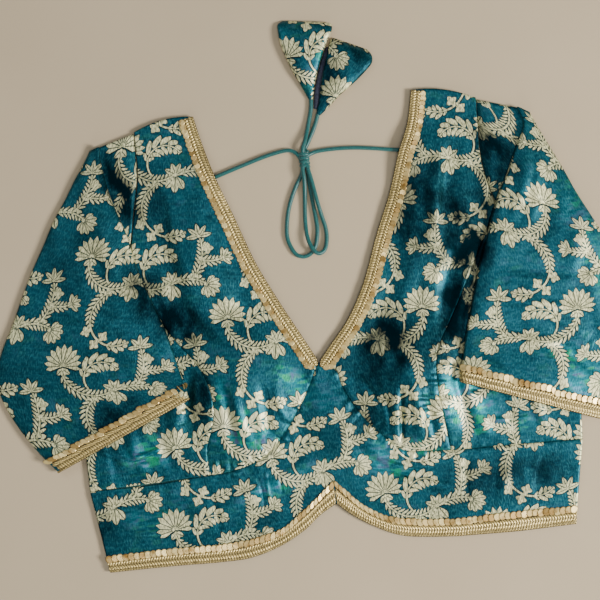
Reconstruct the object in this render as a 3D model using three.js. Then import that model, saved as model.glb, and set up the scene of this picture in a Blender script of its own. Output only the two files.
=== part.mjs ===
// Choli blouse of brocade, laid flat on a table, back panel down.
// Millimetres. X runs across the garment, Y from hem to shoulder, Z up.
// Z = 0 is the table; the origin is under the middle of the laid-out blouse.
import * as THREE from 'three';

// ---- driving sizes ----------------------------------------------------------
const CLOTH = 1.2;           // lined brocade wall
const SEAM = 0.25;           // set back of each panel edge from its seam line
const REST = 0.6;            // air between two layers that lie on each other
const TRIM = 1.2;            // lace band wall
const LACE_GAP = 0.8;        // air between the lace and the cloth it is sewn on
const NECK_TRIM = 12;        // width of the lace on the neck
const CUFF_TRIM = 13.5;      // width of the lace on the cuff
const CORD = 3.6;            // diameter of the tie cord
const CORD_SIDES = 8;
const BACK_Z = CLOTH / 2;    // middle of the back cloth
const FRONT_Z = 2.1;         // middle of the front cloth where it lies flat

const COLOURS = { silk: 0x125c6b, side: 0x0e4a5c, band: 0x17606c, sleeve: 0x146474,
  lace: 0xd2b77d, cord: 0x00786e };

// ---- seam lines, each a smooth line through a few places on the cloth --------
const spline = (...points) => new THREE.CatmullRomCurve3(
  points.map(([x, y, z = 0]) => new THREE.Vector3(x, y, z)), false, 'centripetal');

const LEFT = {
  armhole: spline([-133, 179], [-134, 142], [-140, 112], [-147, 78], [-151, 62]),
  scye: spline([-151, 62], [-155, 47], [-175, 19], [-198, 0]),
  neck: spline([-82, 187], [-78, 168], [-69, 135], [-56, 98], [-42, 58], [-26, 24], [-11, -5], [1, -28]),
  backNeck: spline([-86, 186], [-86, 160], [-79, 135], [-66, 98], [-53, 58], [-38, 22], [-20, -18], [2.6, -52]),
  princess: spline([-151, 62], [-123, 9], [-96, -31], [-90, -58], [-93, -76], [-99, -92], [-100, -117]),
  cupBand: spline([-100, -117], [-78, -115], [-52, -106], [-35, -91], [-20, -71], [-7, -49], [0, -34]),
  outerBand: spline([-202, -120], [-150, -120], [-100, -117]),
  side: spline([-198, 0], [-202, -60], [-202, -120]),
  lowSide: spline([-202, -120], [-198, -146], [-192, -190]),
  hemStraight: spline([-192, -190], [-140, -190], [-100, -191]),
  hemScallop: spline([-100, -191], [-73, -190], [-47, -183], [-24, -171], [-10, -160], [4, -152]),
  laceStraight: spline([-194, -177], [-140, -176], [-97, -177]),
  laceScallop: spline([-97, -177], [-72, -175], [-44, -169], [-28, -158], [-12, -146], [4, -132]),
};
const RIGHT = {
  armhole: spline([158, 178], [157, 151], [157, 125], [162, 98], [167, 86]),
  scye: spline([167, 86], [182, 46], [202, 12], [222, -8]),
  neck: spline([104, 190], [98, 163], [88, 139], [77, 106], [62, 71], [46, 30], [30, 2], [14, -17], [4, -29]),
  backNeck: spline([107, 189.5], [107, 163], [98, 137], [88, 103], [73, 68], [57, 27], [41, -3], [23, -30], [3.4, -52]),
  princess: spline([167, 86], [140, 35], [117, -7], [103, -31], [100, -62], [103, -91], [106, -117]),
  tip: spline([4, -29], [17, -40]),
  cupBand: spline([106, -117], [85, -115], [65, -112], [45, -93], [29, -72], [20, -54], [17, -40]),
  outerBand: spline([218, -119], [160, -118], [106, -117]),
  side: spline([222, -8], [221, -60], [218, -119]),
  lowSide: spline([218, -119], [213, -154], [205, -190]),
  hemStraight: spline([205, -190], [160, -191], [106, -190]),
  hemScallop: spline([106, -190], [80, -188], [56, -184], [31, -172], [15, -161], [5, -152]),
  laceStraight: spline([207, -176], [160, -175], [106, -176]),
  laceScallop: spline([106, -176], [74, -173], [49, -168], [29, -157], [13, -141], [5, -132]),
};

// ---- how far the front stands off the back: soft mounds with a firm edge -----
const MOUNDS = [
  { part: 'left cup', x: -66, y: -45, reachX: 58, reachY: 75, height: 11 },
  { part: 'right cup', x: 84, y: -50, reachX: 54, reachY: 75, height: 11 },
  { part: 'left chest', x: -92, y: 66, reachX: 40, reachY: 92, height: 5 },
  { part: 'right chest', x: 112, y: 72, reachX: 42, reachY: 92, height: 5 },
  { part: 'band peak', x: 9, y: -80, reachX: 28, reachY: 45, height: 3 },
  { part: 'left band', x: -85, y: -152, reachX: 76, reachY: 30, height: 2.5 },
  { part: 'right band', x: 100, y: -152, reachX: 84, reachY: 30, height: 2.5 },
  { part: 'left cord exit', x: -73, y: 133, reachX: 32, reachY: 32, height: 3.6 },
  { part: 'right cord exit', x: 92, y: 140, reachX: 32, reachY: 32, height: 3.6 },
];
const frontHeight = (x, y) => MOUNDS.reduce((z, m) => {
  const r = ((x - m.x) / m.reachX) ** 2 + ((y - m.y) / m.reachY) ** 2;
  return r < 1 ? z + m.height * (1 - r) ** 2 : z;
}, FRONT_Z);
const backHeight = () => BACK_Z;

// ---- cloth walls -------------------------------------------------------------
const blouse = new THREE.Group();

function addMesh(name, positions, index, colour, finish = {}) {
  const geometry = new THREE.BufferGeometry();
  geometry.setAttribute('position', new THREE.Float32BufferAttribute(positions, 3));
  geometry.setIndex(index);
  geometry.computeVertexNormals();
  const material = new THREE.MeshStandardMaterial({ color: colour, roughness: 0.45, metalness: 0.1, ...finish });
  const mesh = new THREE.Mesh(geometry, material);
  mesh.name = name;
  blouse.add(mesh);
  return mesh;
}

// Unit normal of a grid of points at row r, column c.
function gridNormal(grid, r, c) {
  const rows = grid.length - 1;
  const columns = grid[0].length - 1;
  const along = grid[Math.min(r + 1, rows)][c].clone().sub(grid[Math.max(r - 1, 0)][c]);
  const across = grid[r][Math.min(c + 1, columns)].clone().sub(grid[r][Math.max(c - 1, 0)]);
  return across.cross(along).normalize();
}

// The same grid moved out along its normals.
const offsetGrid = (grid, distance) => grid.map((row, r) => row.map(
  (point, c) => point.clone().addScaledVector(gridNormal(grid, r, c), distance)));

// A closed wall of the given thickness round a grid of mid points.
function clothWall(name, grid, thickness, colour, finish) {
  const rows = grid.length;
  const columns = grid[0].length;
  const upper = offsetGrid(grid, thickness / 2);
  const lower = offsetGrid(grid, -thickness / 2);
  const positions = [...upper.flat(), ...lower.flat()].flatMap((p) => p.toArray());
  const index = [];
  const under = rows * columns;
  const at = (r, c) => r * columns + c;
  for (let r = 0; r < rows - 1; r += 1) {
    for (let c = 0; c < columns - 1; c += 1) {
      const [a, b, d, e] = [at(r, c), at(r, c + 1), at(r + 1, c), at(r + 1, c + 1)];
      index.push(a, b, e, a, e, d);
      index.push(under + a, under + e, under + b, under + a, under + d, under + e);
    }
  }
  const rim = [];
  for (let c = 0; c < columns - 1; c += 1) rim.push(at(0, c));
  for (let r = 0; r < rows - 1; r += 1) rim.push(at(r, columns - 1));
  for (let c = columns - 1; c > 0; c -= 1) rim.push(at(rows - 1, c));
  for (let r = rows - 1; r > 0; r -= 1) rim.push(at(r, 0));
  rim.forEach((a, i) => {
    const b = rim[(i + 1) % rim.length];
    index.push(a, under + a, under + b, a, under + b, b);
  });
  return addMesh(name, positions, index, colour, finish);
}

// Pulls the rim of a grid in from its seam lines, square to them and level.
function setBack(grid, distance) {
  const rows = grid.length - 1;
  const columns = grid[0].length - 1;
  const inward = (point, inner, before, after) => {
    const tangent = after.clone().sub(before).setZ(0).normalize();
    const step = inner.clone().sub(point).setZ(0);
    return step.addScaledVector(tangent, -step.dot(tangent)).normalize();
  };
  return grid.map((row, r) => row.map((point, c) => {
    const shift = new THREE.Vector3();
    const down = [grid[Math.max(r - 1, 0)][c], grid[Math.min(r + 1, rows)][c]];
    const over = [row[Math.max(c - 1, 0)], row[Math.min(c + 1, columns)]];
    if (c === 0) shift.add(inward(point, row[1], ...down));
    if (c === columns) shift.add(inward(point, row[columns - 1], ...down));
    if (r === 0) shift.add(inward(point, grid[1][c], ...over));
    if (r === rows) shift.add(inward(point, grid[rows - 1][c], ...over));
    return point.clone().addScaledVector(shift, distance);
  }));
}

// Sections from one seam line to another. Each strip takes a stretch of a left
// line and a right line, or runs from a head line to a foot line; the strips
// follow on from each other down the panel.
function panelGrid(strips, columns, height, topBow = 0) {
  const grid = [];
  const onLine = ({ line, from, to }, t) => line.getPointAt(from + (to - from) * t);
  strips.forEach((strip, order) => {
    for (let i = order === 0 ? 0 : 1; i <= strip.rows; i += 1) {
      const t = i / strip.rows;
      const bow = order === 0 ? topBow * (1 - t) : 0;
      grid.push(Array.from({ length: columns + 1 }, (_, c) => {
        const u = c / columns;
        const p = strip.head
          ? onLine(strip.head, u).lerp(onLine(strip.foot, u), t)
          : onLine(strip.left, t).lerp(onLine(strip.right, t), u);
        p.y += bow * 4 * u * (1 - u);
        p.z = height(p.x, p.y);
        return p;
      }));
    }
  });
  return grid;
}
const stretch = (line, from = 0, to = 1) => ({ line, from, to });

function addPanel(name, strips, columns, height, colour, bow) {
  clothWall(name, setBack(panelGrid(strips, columns, height, bow), SEAM), CLOTH, colour);
}
const joined = (...lines) => {
  const whole = new THREE.CurvePath();
  lines.forEach((line) => whole.add(line));
  return whole;
};

// ---- front: two cups with their straps, two side panels, one shaped band ------
const SHOULDER_BOW = 4;
const CORNER = 0.982;        // share of a seam at which a cup's lowest corner is cut off
addPanel('front_left_cup', [
  { left: stretch(LEFT.armhole), right: stretch(LEFT.neck, 0, 0.55), rows: 7 },
  { left: stretch(LEFT.princess, 0, 6 / 14), right: stretch(LEFT.neck, 0.55, 1), rows: 6 },
  { left: stretch(LEFT.princess, 6 / 14, 13 / 14), right: stretch(LEFT.cupBand, 1, 1 / 8), rows: 7 },
  { left: stretch(LEFT.princess, 13 / 14, CORNER), right: stretch(LEFT.cupBand, 1 / 8, 1 - CORNER), rows: 1 },
], 9, frontHeight, COLOURS.silk, SHOULDER_BOW);
addPanel('front_right_cup', [
  { left: stretch(RIGHT.neck, 0, 0.5), right: stretch(RIGHT.armhole), rows: 6 },
  { left: stretch(RIGHT.neck, 0.5, 1), right: stretch(RIGHT.princess, 0, 7 / 16), rows: 7 },
  { left: stretch(RIGHT.tip, 0, 1), right: stretch(RIGHT.princess, 7 / 16, 8 / 16), rows: 1 },
  { left: stretch(RIGHT.cupBand, 1, 1 / 8), right: stretch(RIGHT.princess, 8 / 16, 15 / 16), rows: 7 },
  { left: stretch(RIGHT.cupBand, 1 / 8, 1 - CORNER), right: stretch(RIGHT.princess, 15 / 16, CORNER), rows: 1 },
], 9, frontHeight, COLOURS.silk, SHOULDER_BOW);
addPanel('front_left_side', [
  { left: stretch(LEFT.scye, 0.08, 1), right: stretch(LEFT.princess, 1 / 14, 5 / 14), rows: 4 },
  { left: stretch(LEFT.side), right: stretch(LEFT.princess, 5 / 14, 1), rows: 9 },
], 5, frontHeight, COLOURS.side);
addPanel('front_right_side', [
  { left: stretch(RIGHT.princess, 1 / 16, 6 / 16), right: stretch(RIGHT.scye, 0.08, 1), rows: 5 },
  { left: stretch(RIGHT.princess, 6 / 16, 1), right: stretch(RIGHT.side), rows: 10 },
], 5, frontHeight, COLOURS.side);

// The band's sections run from the seam under the cups to the hem.
const bandGrid = panelGrid([
  { left: stretch(LEFT.outerBand), right: stretch(LEFT.hemStraight), rows: 5 },
  { left: stretch(LEFT.cupBand), right: stretch(LEFT.hemScallop), rows: 8 },
  { left: stretch(spline([0, -34], [4.6, -30.6], [17, -40.5])), right: stretch(spline([4, -152], [5, -152])), rows: 1 },
  { left: stretch(RIGHT.cupBand, 1, 0), right: stretch(RIGHT.hemScallop, 1, 0), rows: 8 },
  { left: stretch(RIGHT.outerBand, 1, 0), right: stretch(RIGHT.hemStraight, 1, 0), rows: 5 },
], 5, frontHeight);
clothWall('front_midriff', setBack(bandGrid, SEAM), CLOTH, COLOURS.band);

// ---- back: two flat halves with a deep round neck -----------------------------
const BACK_COLUMNS = 7;
addPanel('back_left', [
  { left: stretch(LEFT.armhole), right: stretch(LEFT.backNeck, 0, 0.5), rows: 5 },
  { left: stretch(LEFT.scye), right: stretch(LEFT.backNeck, 0.5, 1), rows: 5 },
  { left: stretch(LEFT.side), right: stretch(spline([2.6, -52], [2.6, -120])), rows: 2 },
  { head: stretch(spline([-202, -120], [2.6, -120])), foot: stretch(joined(LEFT.hemStraight, LEFT.hemScallop)), rows: 2 },
], BACK_COLUMNS, backHeight, COLOURS.silk, SHOULDER_BOW);
addPanel('back_right', [
  { left: stretch(RIGHT.backNeck, 0, 0.5), right: stretch(RIGHT.armhole), rows: 6 },
  { left: stretch(RIGHT.backNeck, 0.5, 1), right: stretch(RIGHT.scye), rows: 5 },
  { left: stretch(spline([3.4, -52], [3.4, -119])), right: stretch(RIGHT.side), rows: 2 },
  { head: stretch(spline([3.4, -119], [218, -119])), foot: stretch(joined(RIGHT.hemStraight, RIGHT.hemScallop), 1, 0), rows: 2 },
], BACK_COLUMNS, backHeight, COLOURS.silk, SHOULDER_BOW);

// ---- sleeves: one sheet each, wrapped from the front armhole to the back one --
// A section across a sleeve runs from the front armhole seam to a hidden dip,
// back over it to the inner fold edge, out over the top to the outer fold edge
// and back underneath to the back armhole seam. Columns: arm = how far down the
// armhole the section starts; seam = x of the sleeve's own seam, where it starts
// below the underarm; edge and out = the two fold edges; pleat = how far the dip reaches past the edge;
// rise = height of the top layer over the fold; lift = height off what it lies on.
const LEFT_SLEEVE = [
  { arm: 0.005, edge: [-164, 169.5], out: [-172, 167], pleat: 3, rise: 1.9, lift: 0 },
  { arm: 0.085, edge: [-164, 157], out: [-178, 157], pleat: 3, rise: 2.4, lift: 0 },
  { arm: 0.165, edge: [-162, 143], out: [-187, 144], pleat: 3, rise: 3, lift: 0 },
  { arm: 0.245, edge: [-159, 127], out: [-197, 128], pleat: 3, rise: 3.6, lift: 0 },
  { arm: 0.335, edge: [-153, 107], out: [-208, 112], pleat: 3, rise: 4, lift: 0 },
  { arm: 0.42, edge: [-148, 91], out: [-219, 92], pleat: 3, rise: 4, lift: 0 },
  { arm: 0.525, edge: [-145, 74], out: [-231, 71], pleat: 3, rise: 4, lift: 0 },
  { arm: 0.62, edge: [-140, 55], out: [-242, 49], pleat: 3, rise: 4, lift: 0 },
  { arm: 0.73, edge: [-133, 34], out: [-253, 26], pleat: 2.5, rise: 4, lift: 0 },
  { arm: 0.87, edge: [-126, 15], out: [-264, 5], pleat: 2, rise: 4, lift: 0 },
  { arm: 1, edge: [-121, -4], out: [-271, -16], pleat: 1.5, rise: 4, lift: 0 },
  { seam: -207.5, edge: [-117, -22], out: [-267, -37], rise: 4, lift: 0 },
  { seam: -209, edge: [-114, -35], out: [-256, -60], rise: 4, lift: 1 },
  { seam: -210, edge: [-111.5, -44], out: [-240, -84], rise: 4, lift: 2.4 },
  { seam: -210, edge: [-110, -51], out: [-226, -101], rise: 4, lift: 2.4 },
];
const RIGHT_SLEEVE = [
  { arm: 0.005, edge: [192, 166.5], out: [202, 161], pleat: 2.5, rise: 1.9, lift: 0 },
  { arm: 0.08, edge: [196, 151], out: [208, 147], pleat: 4, rise: 2.4, lift: 0 },
  { arm: 0.16, edge: [190, 137], out: [216, 130], pleat: 8, rise: 3.4, lift: 0 },
  { arm: 0.24, edge: [183, 123], out: [225, 111], pleat: 10, rise: 4, lift: 0 },
  { arm: 0.33, edge: [176, 108], out: [234, 90], pleat: 10, rise: 4.5, lift: 0 },
  { arm: 0.42, edge: [168, 94], out: [243, 72], pleat: 7, rise: 5, lift: 0 },
  { arm: 0.51, edge: [161, 77], out: [252, 54], pleat: 3, rise: 5, lift: 0 },
  { arm: 0.62, edge: [155, 60], out: [261, 34], pleat: 3, rise: 5, lift: 0 },
  { arm: 0.74, edge: [147, 39], out: [268, 15], pleat: 2.5, rise: 5, lift: 0 },
  { arm: 0.87, edge: [140, 17], out: [271.5, -2], pleat: 2, rise: 5, lift: 0 },
  { arm: 1, edge: [134, -3], out: [270, -20], pleat: 1.5, rise: 5, lift: 0 },
  { seam: 229.5, edge: [129, -20], out: [264, -40], rise: 5, lift: 0 },
  { seam: 229, edge: [125, -36], out: [255, -62], rise: 5, lift: 1 },
  { seam: 216, edge: [122, -48], out: [245, -83], rise: 5, lift: 2.4 },
  { seam: 205, edge: [120, -60], out: [233, -103], rise: 5, lift: 2.4 },
];
const SLEEVE_PUFF = 3;       // how far the top of the sleeve stands up between folds
const OUTER_RISE = 3.6;      // height of the top layer at the outer fold
const LAYER = CLOTH + REST;  // from the middle of one layer to the next
const SIDE_SLOPE = 8;        // how far from the body the cloth starts to climb over it
const ARM_GAP = 0.8;         // from the armhole seam to the sleeve's edge
const SIDE_REACH = 2;        // how far past the slope the cloth lies flat on the table
const SIDE_TOP = 2.5;        // how far inside the flank the cloth is at its full height
const CLEAR = 0.2;           // added to the air under the closed part of a sleeve
const FOLD_CLEAR = 0.3;      // added to the air under the folded part of a sleeve
const DIP = { at: 0.65, before: 2.6, after: 2.8 };   // the tube's start: share of the slope, and its sides
const PUFF = { from: 10, to: 60 };   // widths of sleeve between which the puff grows
const CLOSING = 0.45;        // from the start of a tube's section to its finish

// Top of the front cloth under a point, fading to the table outside the flank.
function bodyTop(flank, x, y) {
  let nearest = Infinity;
  let inside = 0;
  for (let i = 0; i < flank.length - 1; i += 1) {
    const [a, b] = [flank[i], flank[i + 1]];
    const [dx, dy] = [b.x - a.x, b.y - a.y];
    const t = THREE.MathUtils.clamp(((x - a.x) * dx + (y - a.y) * dy) / (dx * dx + dy * dy), 0, 1);
    const gap = Math.hypot(x - a.x - dx * t, y - a.y - dy * t);
    if (gap < nearest) {
      nearest = gap;
      inside = Math.sign(dx * (y - a.y) - dy * (x - a.x)) * flank.side * gap;
    }
  }
  return THREE.MathUtils.smoothstep(inside, -SIDE_SLOPE - SIDE_REACH, -SIDE_TOP) * (frontHeight(x, y) + CLOTH / 2);
}

function flankOf(seams, side) {
  const points = [seams.armhole, seams.scye, seams.side, seams.lowSide].flatMap((line) => line.getPoints(8));
  return Object.assign(points.filter((p, i) => i === 0 || p.distanceTo(points[i - 1]) > 0.5), { side });
}

const place = ([x, y]) => new THREE.Vector3(x, y, 0);
const TURN = [0, 1, 2, 3].map((i) => (i / 3) * Math.PI);   // half turn round a fold edge

function sleeveGrid(rows, seams, side) {
  const armhole = joined(seams.armhole, seams.scye);
  const flank = flankOf(seams, side);
  const onBody = (p) => bodyTop(flank, p.x, p.y);
  return rows.map((row) => {
    const tube = row.seam !== undefined;      // below the underarm the sleeve is closed
    const edge = place(row.edge);
    const out = place(row.out);
    const outward = out.clone().sub(edge).normalize();
    const shift = (p, distance) => p.clone().addScaledVector(outward, distance);
    const start = tube
      ? edge.clone().lerp(out, (row.seam - edge.x) / (out.x - edge.x))
      : shift(armhole.getPointAt(row.arm).setZ(0), ARM_GAP);
    const reach = Math.max(start.clone().sub(edge).dot(outward), 0);
    const under = (p) => onBody(p) + CLOTH / 2 + Math.min(onBody(p), 1) * (REST + CLEAR) + row.lift;
    const middle = (p) => (tube ? under(p) : Math.max(onBody(p), FRONT_Z + CLOTH / 2) + CLOTH / 2 + REST + FOLD_CLEAR);
    const low = (p) => (tube ? under(p) : BACK_Z);
    const at = (p, z) => p.clone().setZ(z);
    const section = [];

    // Front armhole, the dip and the layer that runs back to the inner fold.
    const dipRadius = LAYER / 2;
    const dip = tube ? shift(start, -SIDE_SLOPE * DIP.at) : shift(reach > 0 ? start : edge, row.pleat);
    const before = shift(dip, tube ? DIP.before : -dipRadius);
    const after = shift(dip, tube ? -DIP.after : -dipRadius);
    const floorOfDip = (p) => (tube ? under(p) : middle(p) - LAYER);
    section.push(at(start, tube ? under(start) : frontHeight(start.x, start.y)));
    section.push(at(start.clone().lerp(before, 0.5), floorOfDip(start.clone().lerp(before, 0.5))));
    section.push(at(before, floorOfDip(before)));
    section.push(at(dip, tube ? under(dip) : middle(dip) - dipRadius));
    section.push(at(after, middle(after)));

    // Round the inner fold edge.
    const foldRadius = row.rise / 2;
    const inner = shift(edge, foldRadius);
    const halfway = after.clone().lerp(inner, 0.5);
    section.push(at(halfway, middle(halfway)));
    const innerZ = middle(inner);
    TURN.forEach((turn) => section.push(at(
      shift(edge, foldRadius * (1 - Math.sin(turn))), innerZ + foldRadius * (1 - Math.cos(turn)))));

    // Over the top and round the outer fold edge.
    const outZ = low(out);
    const topRise = Math.min(OUTER_RISE, row.rise + 1);
    const outRadius = topRise / 2;
    const last = shift(out, -outRadius);
    const puff = SLEEVE_PUFF * THREE.MathUtils.smoothstep(out.distanceTo(edge), PUFF.from, PUFF.to);
    for (let i = 1; i <= 5; i += 1) {
      const u = i / 6;
      const z = THREE.MathUtils.lerp(innerZ + row.rise, outZ + topRise, u);
      const p = inner.clone().lerp(last, u);
      const clear = tube ? under(p) + LAYER + REST : 0;
      section.push(at(p, Math.max(z + puff * Math.sin(Math.PI * u), clear)));
    }
    TURN.slice().reverse().forEach((turn) => section.push(at(
      shift(out, -outRadius * (1 - Math.sin(turn))), outZ + outRadius * (1 - Math.cos(turn)))));

    // Back under to the back armhole.
    const finish = shift(start, tube ? CLOSING : 0);
    for (let i = 1; i <= 5; i += 1) {
      const p = last.clone().lerp(finish, i / 5);
      section.push(at(p, low(p)));
    }
    return section;
  });
}

// The last stretch of a tube, as wide as the lace, measured up from its mouth.
function mouthBand(grid, width, steps) {
  const climbs = grid[0].map((_, c) => {
    const line = new THREE.CatmullRomCurve3(grid.map((row) => row[c]), false, 'centripetal');
    return { line, share: width / line.getLength() };
  });
  return Array.from({ length: steps + 1 }, (_, i) => climbs.map(
    ({ line, share }) => line.getPointAt(1 - share * (1 - i / steps))));
}

const LACE = { roughness: 0.35, metalness: 0.5 };
function addSleeve(name, rows, seams, side) {
  const grid = sleeveGrid(rows, seams, side);
  clothWall(`sleeve_${name}`, grid, CLOTH, COLOURS.sleeve);
  const outside = side * (CLOTH / 2 + LACE_GAP + TRIM / 2);
  const band = offsetGrid(mouthBand(grid, CUFF_TRIM, 3), outside);
  clothWall(`cuff_trim_${name}`, band, TRIM, COLOURS.lace, LACE);
}
addSleeve('left', LEFT_SLEEVE, LEFT, 1);
addSleeve('right', RIGHT_SLEEVE, RIGHT, -1);

// ---- lace bands on the neck and the hem ---------------------------------------
const onFront = (x, y) => frontHeight(x, y) + CLOTH / 2 + LACE_GAP + TRIM / 2;

// A band between an outer line and points set in from it, or a second line.
function addBand(name, outer, innerAt, steps) {
  const grid = Array.from({ length: steps + 1 }, (_, i) => {
    const a = outer.getPointAt(i / steps);
    return [a, innerAt(i / steps, a)].map((p) => p.setZ(onFront(p.x, p.y)));
  });
  clothWall(name, grid, TRIM, COLOURS.lace, LACE);
}
const setIn = (line, distance) => (t, point) => {
  const along = line.getTangentAt(t);
  return point.clone().add(new THREE.Vector3(along.y, -along.x, 0).multiplyScalar(distance));
};
addBand('neck_trim_left', LEFT.neck, setIn(LEFT.neck, NECK_TRIM), 26);
addBand('neck_trim_right', RIGHT.neck, setIn(RIGHT.neck, -NECK_TRIM), 26);

const leftLace = joined(LEFT.laceStraight, LEFT.laceScallop);
const rightLace = joined(RIGHT.laceStraight, RIGHT.laceScallop);
addBand('hem_trim_left', joined(LEFT.hemStraight, LEFT.hemScallop), (t) => leftLace.getPointAt(t), 24);
addBand('hem_trim_right', joined(RIGHT.hemStraight, RIGHT.hemScallop), (t) => rightLace.getPointAt(t), 24);

// ---- tie: two cords from the back neck, a bow with two loops and two tails ----
const cordSection = new THREE.Shape(Array.from({ length: CORD_SIDES }, (_, i) => new THREE.Vector2(
  Math.cos((2 * Math.PI * i) / CORD_SIDES), Math.sin((2 * Math.PI * i) / CORD_SIDES)).multiplyScalar(CORD / 2)));
function addCord(name, steps, points) {
  const extrudePath = spline(...points);
  const geometry = new THREE.ExtrudeGeometry(cordSection, { extrudePath, steps, bevelEnabled: false });
  const material = new THREE.MeshStandardMaterial({ color: COLOURS.cord, roughness: 0.5, metalness: 0 });
  const mesh = new THREE.Mesh(geometry, material);
  mesh.name = name;
  blouse.add(mesh);
}
const FLAT = 1.9;            // height of a cord's middle where it lies on the table
const OVER = 5.8;            // and where it lies on another cord
addCord('dori_span_left', 9, [[-77.2, 131.6, FLAT], [-69, 134.1, FLAT], [-45.1, 141.4, FLAT],
  [-20.5, 148.2, FLAT], [-5, 150.3, FLAT], [-0.6, 148.9, 2.4], [2.4, 146.9, 3]]);
addCord('dori_span_right', 9, [[98.2, 139.4, FLAT], [86.9, 141.2, FLAT], [51.2, 146.7, FLAT],
  [27.3, 147.5, FLAT], [17, 146.4, 2.2], [12.5, 145.4, 2.6]]);
addCord('dori_loop_left', 20, [[6, 134.6, FLAT], [4, 128, FLAT], [-1.5, 119, FLAT], [-8.5, 103.4, FLAT],
  [-12.1, 89.2, FLAT], [-13.1, 76.5, FLAT], [-10.2, 66.8, FLAT], [-6.5, 61.3, FLAT], [-0.8, 59.2, FLAT],
  [5.4, 61.3, FLAT], [9.9, 67.3, FLAT], [12.3, 75.9, FLAT], [13, 83, FLAT], [11.3, 107.3, FLAT],
  [10.2, 122, FLAT], [10, 134.6, FLAT]]);
addCord('dori_loop_right', 20, [[6, 134.6, OVER], [6.2, 124, 5.4], [5.4, 112, 2.6], [4.1, 97.8, FLAT],
  [3.4, 86, 2.5], [3.9, 74.9, 4.6], [6.8, 65.9, 5.9], [11.4, 60.6, 5.3], [16.8, 62.6, 3.2], [19.8, 70.1, 2],
  [20.2, 80.3, FLAT], [17.8, 92, 3.6], [15.5, 103, 5.7], [12.6, 121, OVER], [10, 134.6, OVER]]);
addCord('dori_tail_left', 8, [[7.6, 149.6, OVER], [9.8, 155.6, 5], [13.2, 166, 2.6], [16.4, 176.7, FLAT],
  [18.4, 185, FLAT], [19, 190.6, FLAT]]);
addCord('dori_tail_right', 6, [[9.6, 149.8, FLAT], [12.6, 155, FLAT], [17.2, 163.2, FLAT],
  [20.8, 170.6, FLAT], [23.2, 176.9, FLAT]]);

// A closed body through rings of points, with its two ends closed flat.
function ringSolid(name, rings, colour) {
  const sides = rings[0].length;
  const positions = rings.flat().flatMap((p) => p.toArray());
  const index = [];
  for (let r = 0; r < rings.length - 1; r += 1) {
    for (let i = 0; i < sides; i += 1) {
      const [a, b] = [r * sides + i, r * sides + ((i + 1) % sides)];
      index.push(a, b, b + sides, a, b + sides, a + sides);
    }
  }
  const end = (rings.length - 1) * sides;
  for (let i = 1; i < sides - 1; i += 1) {
    index.push(0, i + 1, i);
    index.push(end, end + i, end + i + 1);
  }
  addMesh(name, positions, index, colour);
}

const RING_SIDES = 12;
const ring = (a, b, height) => Array.from({ length: RING_SIDES }, (_, i) => {
  const angle = (2 * Math.PI * i) / RING_SIDES;
  const p = a.clone().lerp(b, 0.5 + 0.5 * Math.cos(angle));
  return p.setZ(0.2 + (height / 2) * (1 + Math.sin(angle)));
});
// Knot: a short barrel across the four strands of the bow.
const KNOT = [{ y: 135, half: 3.7, height: 7.2 }, { y: 138, half: 4.2, height: 7.6 },
  { y: 145, half: 4.2, height: 7.6 }, { y: 148.2, half: 3.6, height: 7 }];
const KNOT_X = 8;
ringSolid('dori_knot', KNOT.map(({ y, half, height }) => ring(
  place([KNOT_X + half, y]), place([KNOT_X - half, y]), height)), COLOURS.cord);

// Latkans: two soft triangular pouches. Columns: the ends of each section, height.
const LATKANS = {
  left: [
    { from: [17.2, 191.2], to: [20.8, 191.2], height: 3.6 }, { from: [12.6, 201.8], to: [23.2, 202.2], height: 6 },
    { from: [6.5, 214.6], to: [27.5, 215.4], height: 8 }, { from: [2.2, 226], to: [32.1, 226.6], height: 9 },
    { from: [-1.6, 238.7], to: [37.6, 238.7], height: 9 }, { from: [-2.9, 250], to: [43, 248.6], height: 8 },
    { from: [-2.4, 257.4], to: [42.6, 253.4], height: 5 }, { from: [2, 260.2], to: [37, 255.4], height: 2 },
  ],
  right: [
    { from: [22, 178.4], to: [25.4, 177], height: 3.6 }, { from: [25.2, 188], to: [31.5, 181.6], height: 5 },
    { from: [28, 200], to: [44, 192.2], height: 7 }, { from: [31.5, 213], to: [57, 201.4], height: 8 },
    { from: [35, 223.5], to: [67.7, 210.2], height: 8.5 }, { from: [38.4, 233], to: [73.6, 216.6], height: 8 },
    { from: [40.8, 239.6], to: [74.4, 222.4], height: 5.5 }, { from: [43.4, 241.4], to: [71.4, 228.4], height: 2 },
  ],
};
Object.entries(LATKANS).forEach(([name, rows]) => ringSolid(`latkan_${name}`, rows.map(
  ({ from, to, height }) => ring(place(to), place(from), height)), COLOURS.silk));

export default blouse;
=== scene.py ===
"""Choli blouse of brocade laid flat on a table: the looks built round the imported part.

Tables of places are in millimetres; every mesh is written in metres.
"""

import logging
import math
import random
from dataclasses import dataclass
from enum import Enum
from typing import Callable, Sequence

import bmesh
import bpy
from mathutils import Matrix, Vector, kdtree, noise


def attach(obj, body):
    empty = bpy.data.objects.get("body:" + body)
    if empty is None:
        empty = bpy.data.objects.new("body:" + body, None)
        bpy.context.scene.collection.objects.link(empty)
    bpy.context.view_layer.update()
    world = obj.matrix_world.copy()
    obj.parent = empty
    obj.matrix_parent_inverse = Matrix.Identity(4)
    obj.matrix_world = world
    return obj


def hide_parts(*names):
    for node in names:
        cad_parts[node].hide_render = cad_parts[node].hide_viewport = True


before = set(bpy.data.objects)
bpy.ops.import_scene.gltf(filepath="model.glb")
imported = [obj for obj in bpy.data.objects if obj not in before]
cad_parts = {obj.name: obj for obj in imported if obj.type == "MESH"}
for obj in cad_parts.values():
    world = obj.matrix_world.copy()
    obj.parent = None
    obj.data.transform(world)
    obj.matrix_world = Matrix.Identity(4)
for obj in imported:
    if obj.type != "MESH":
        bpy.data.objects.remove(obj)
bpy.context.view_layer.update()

MM = 0.001
CLOTH = 1.2
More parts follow.
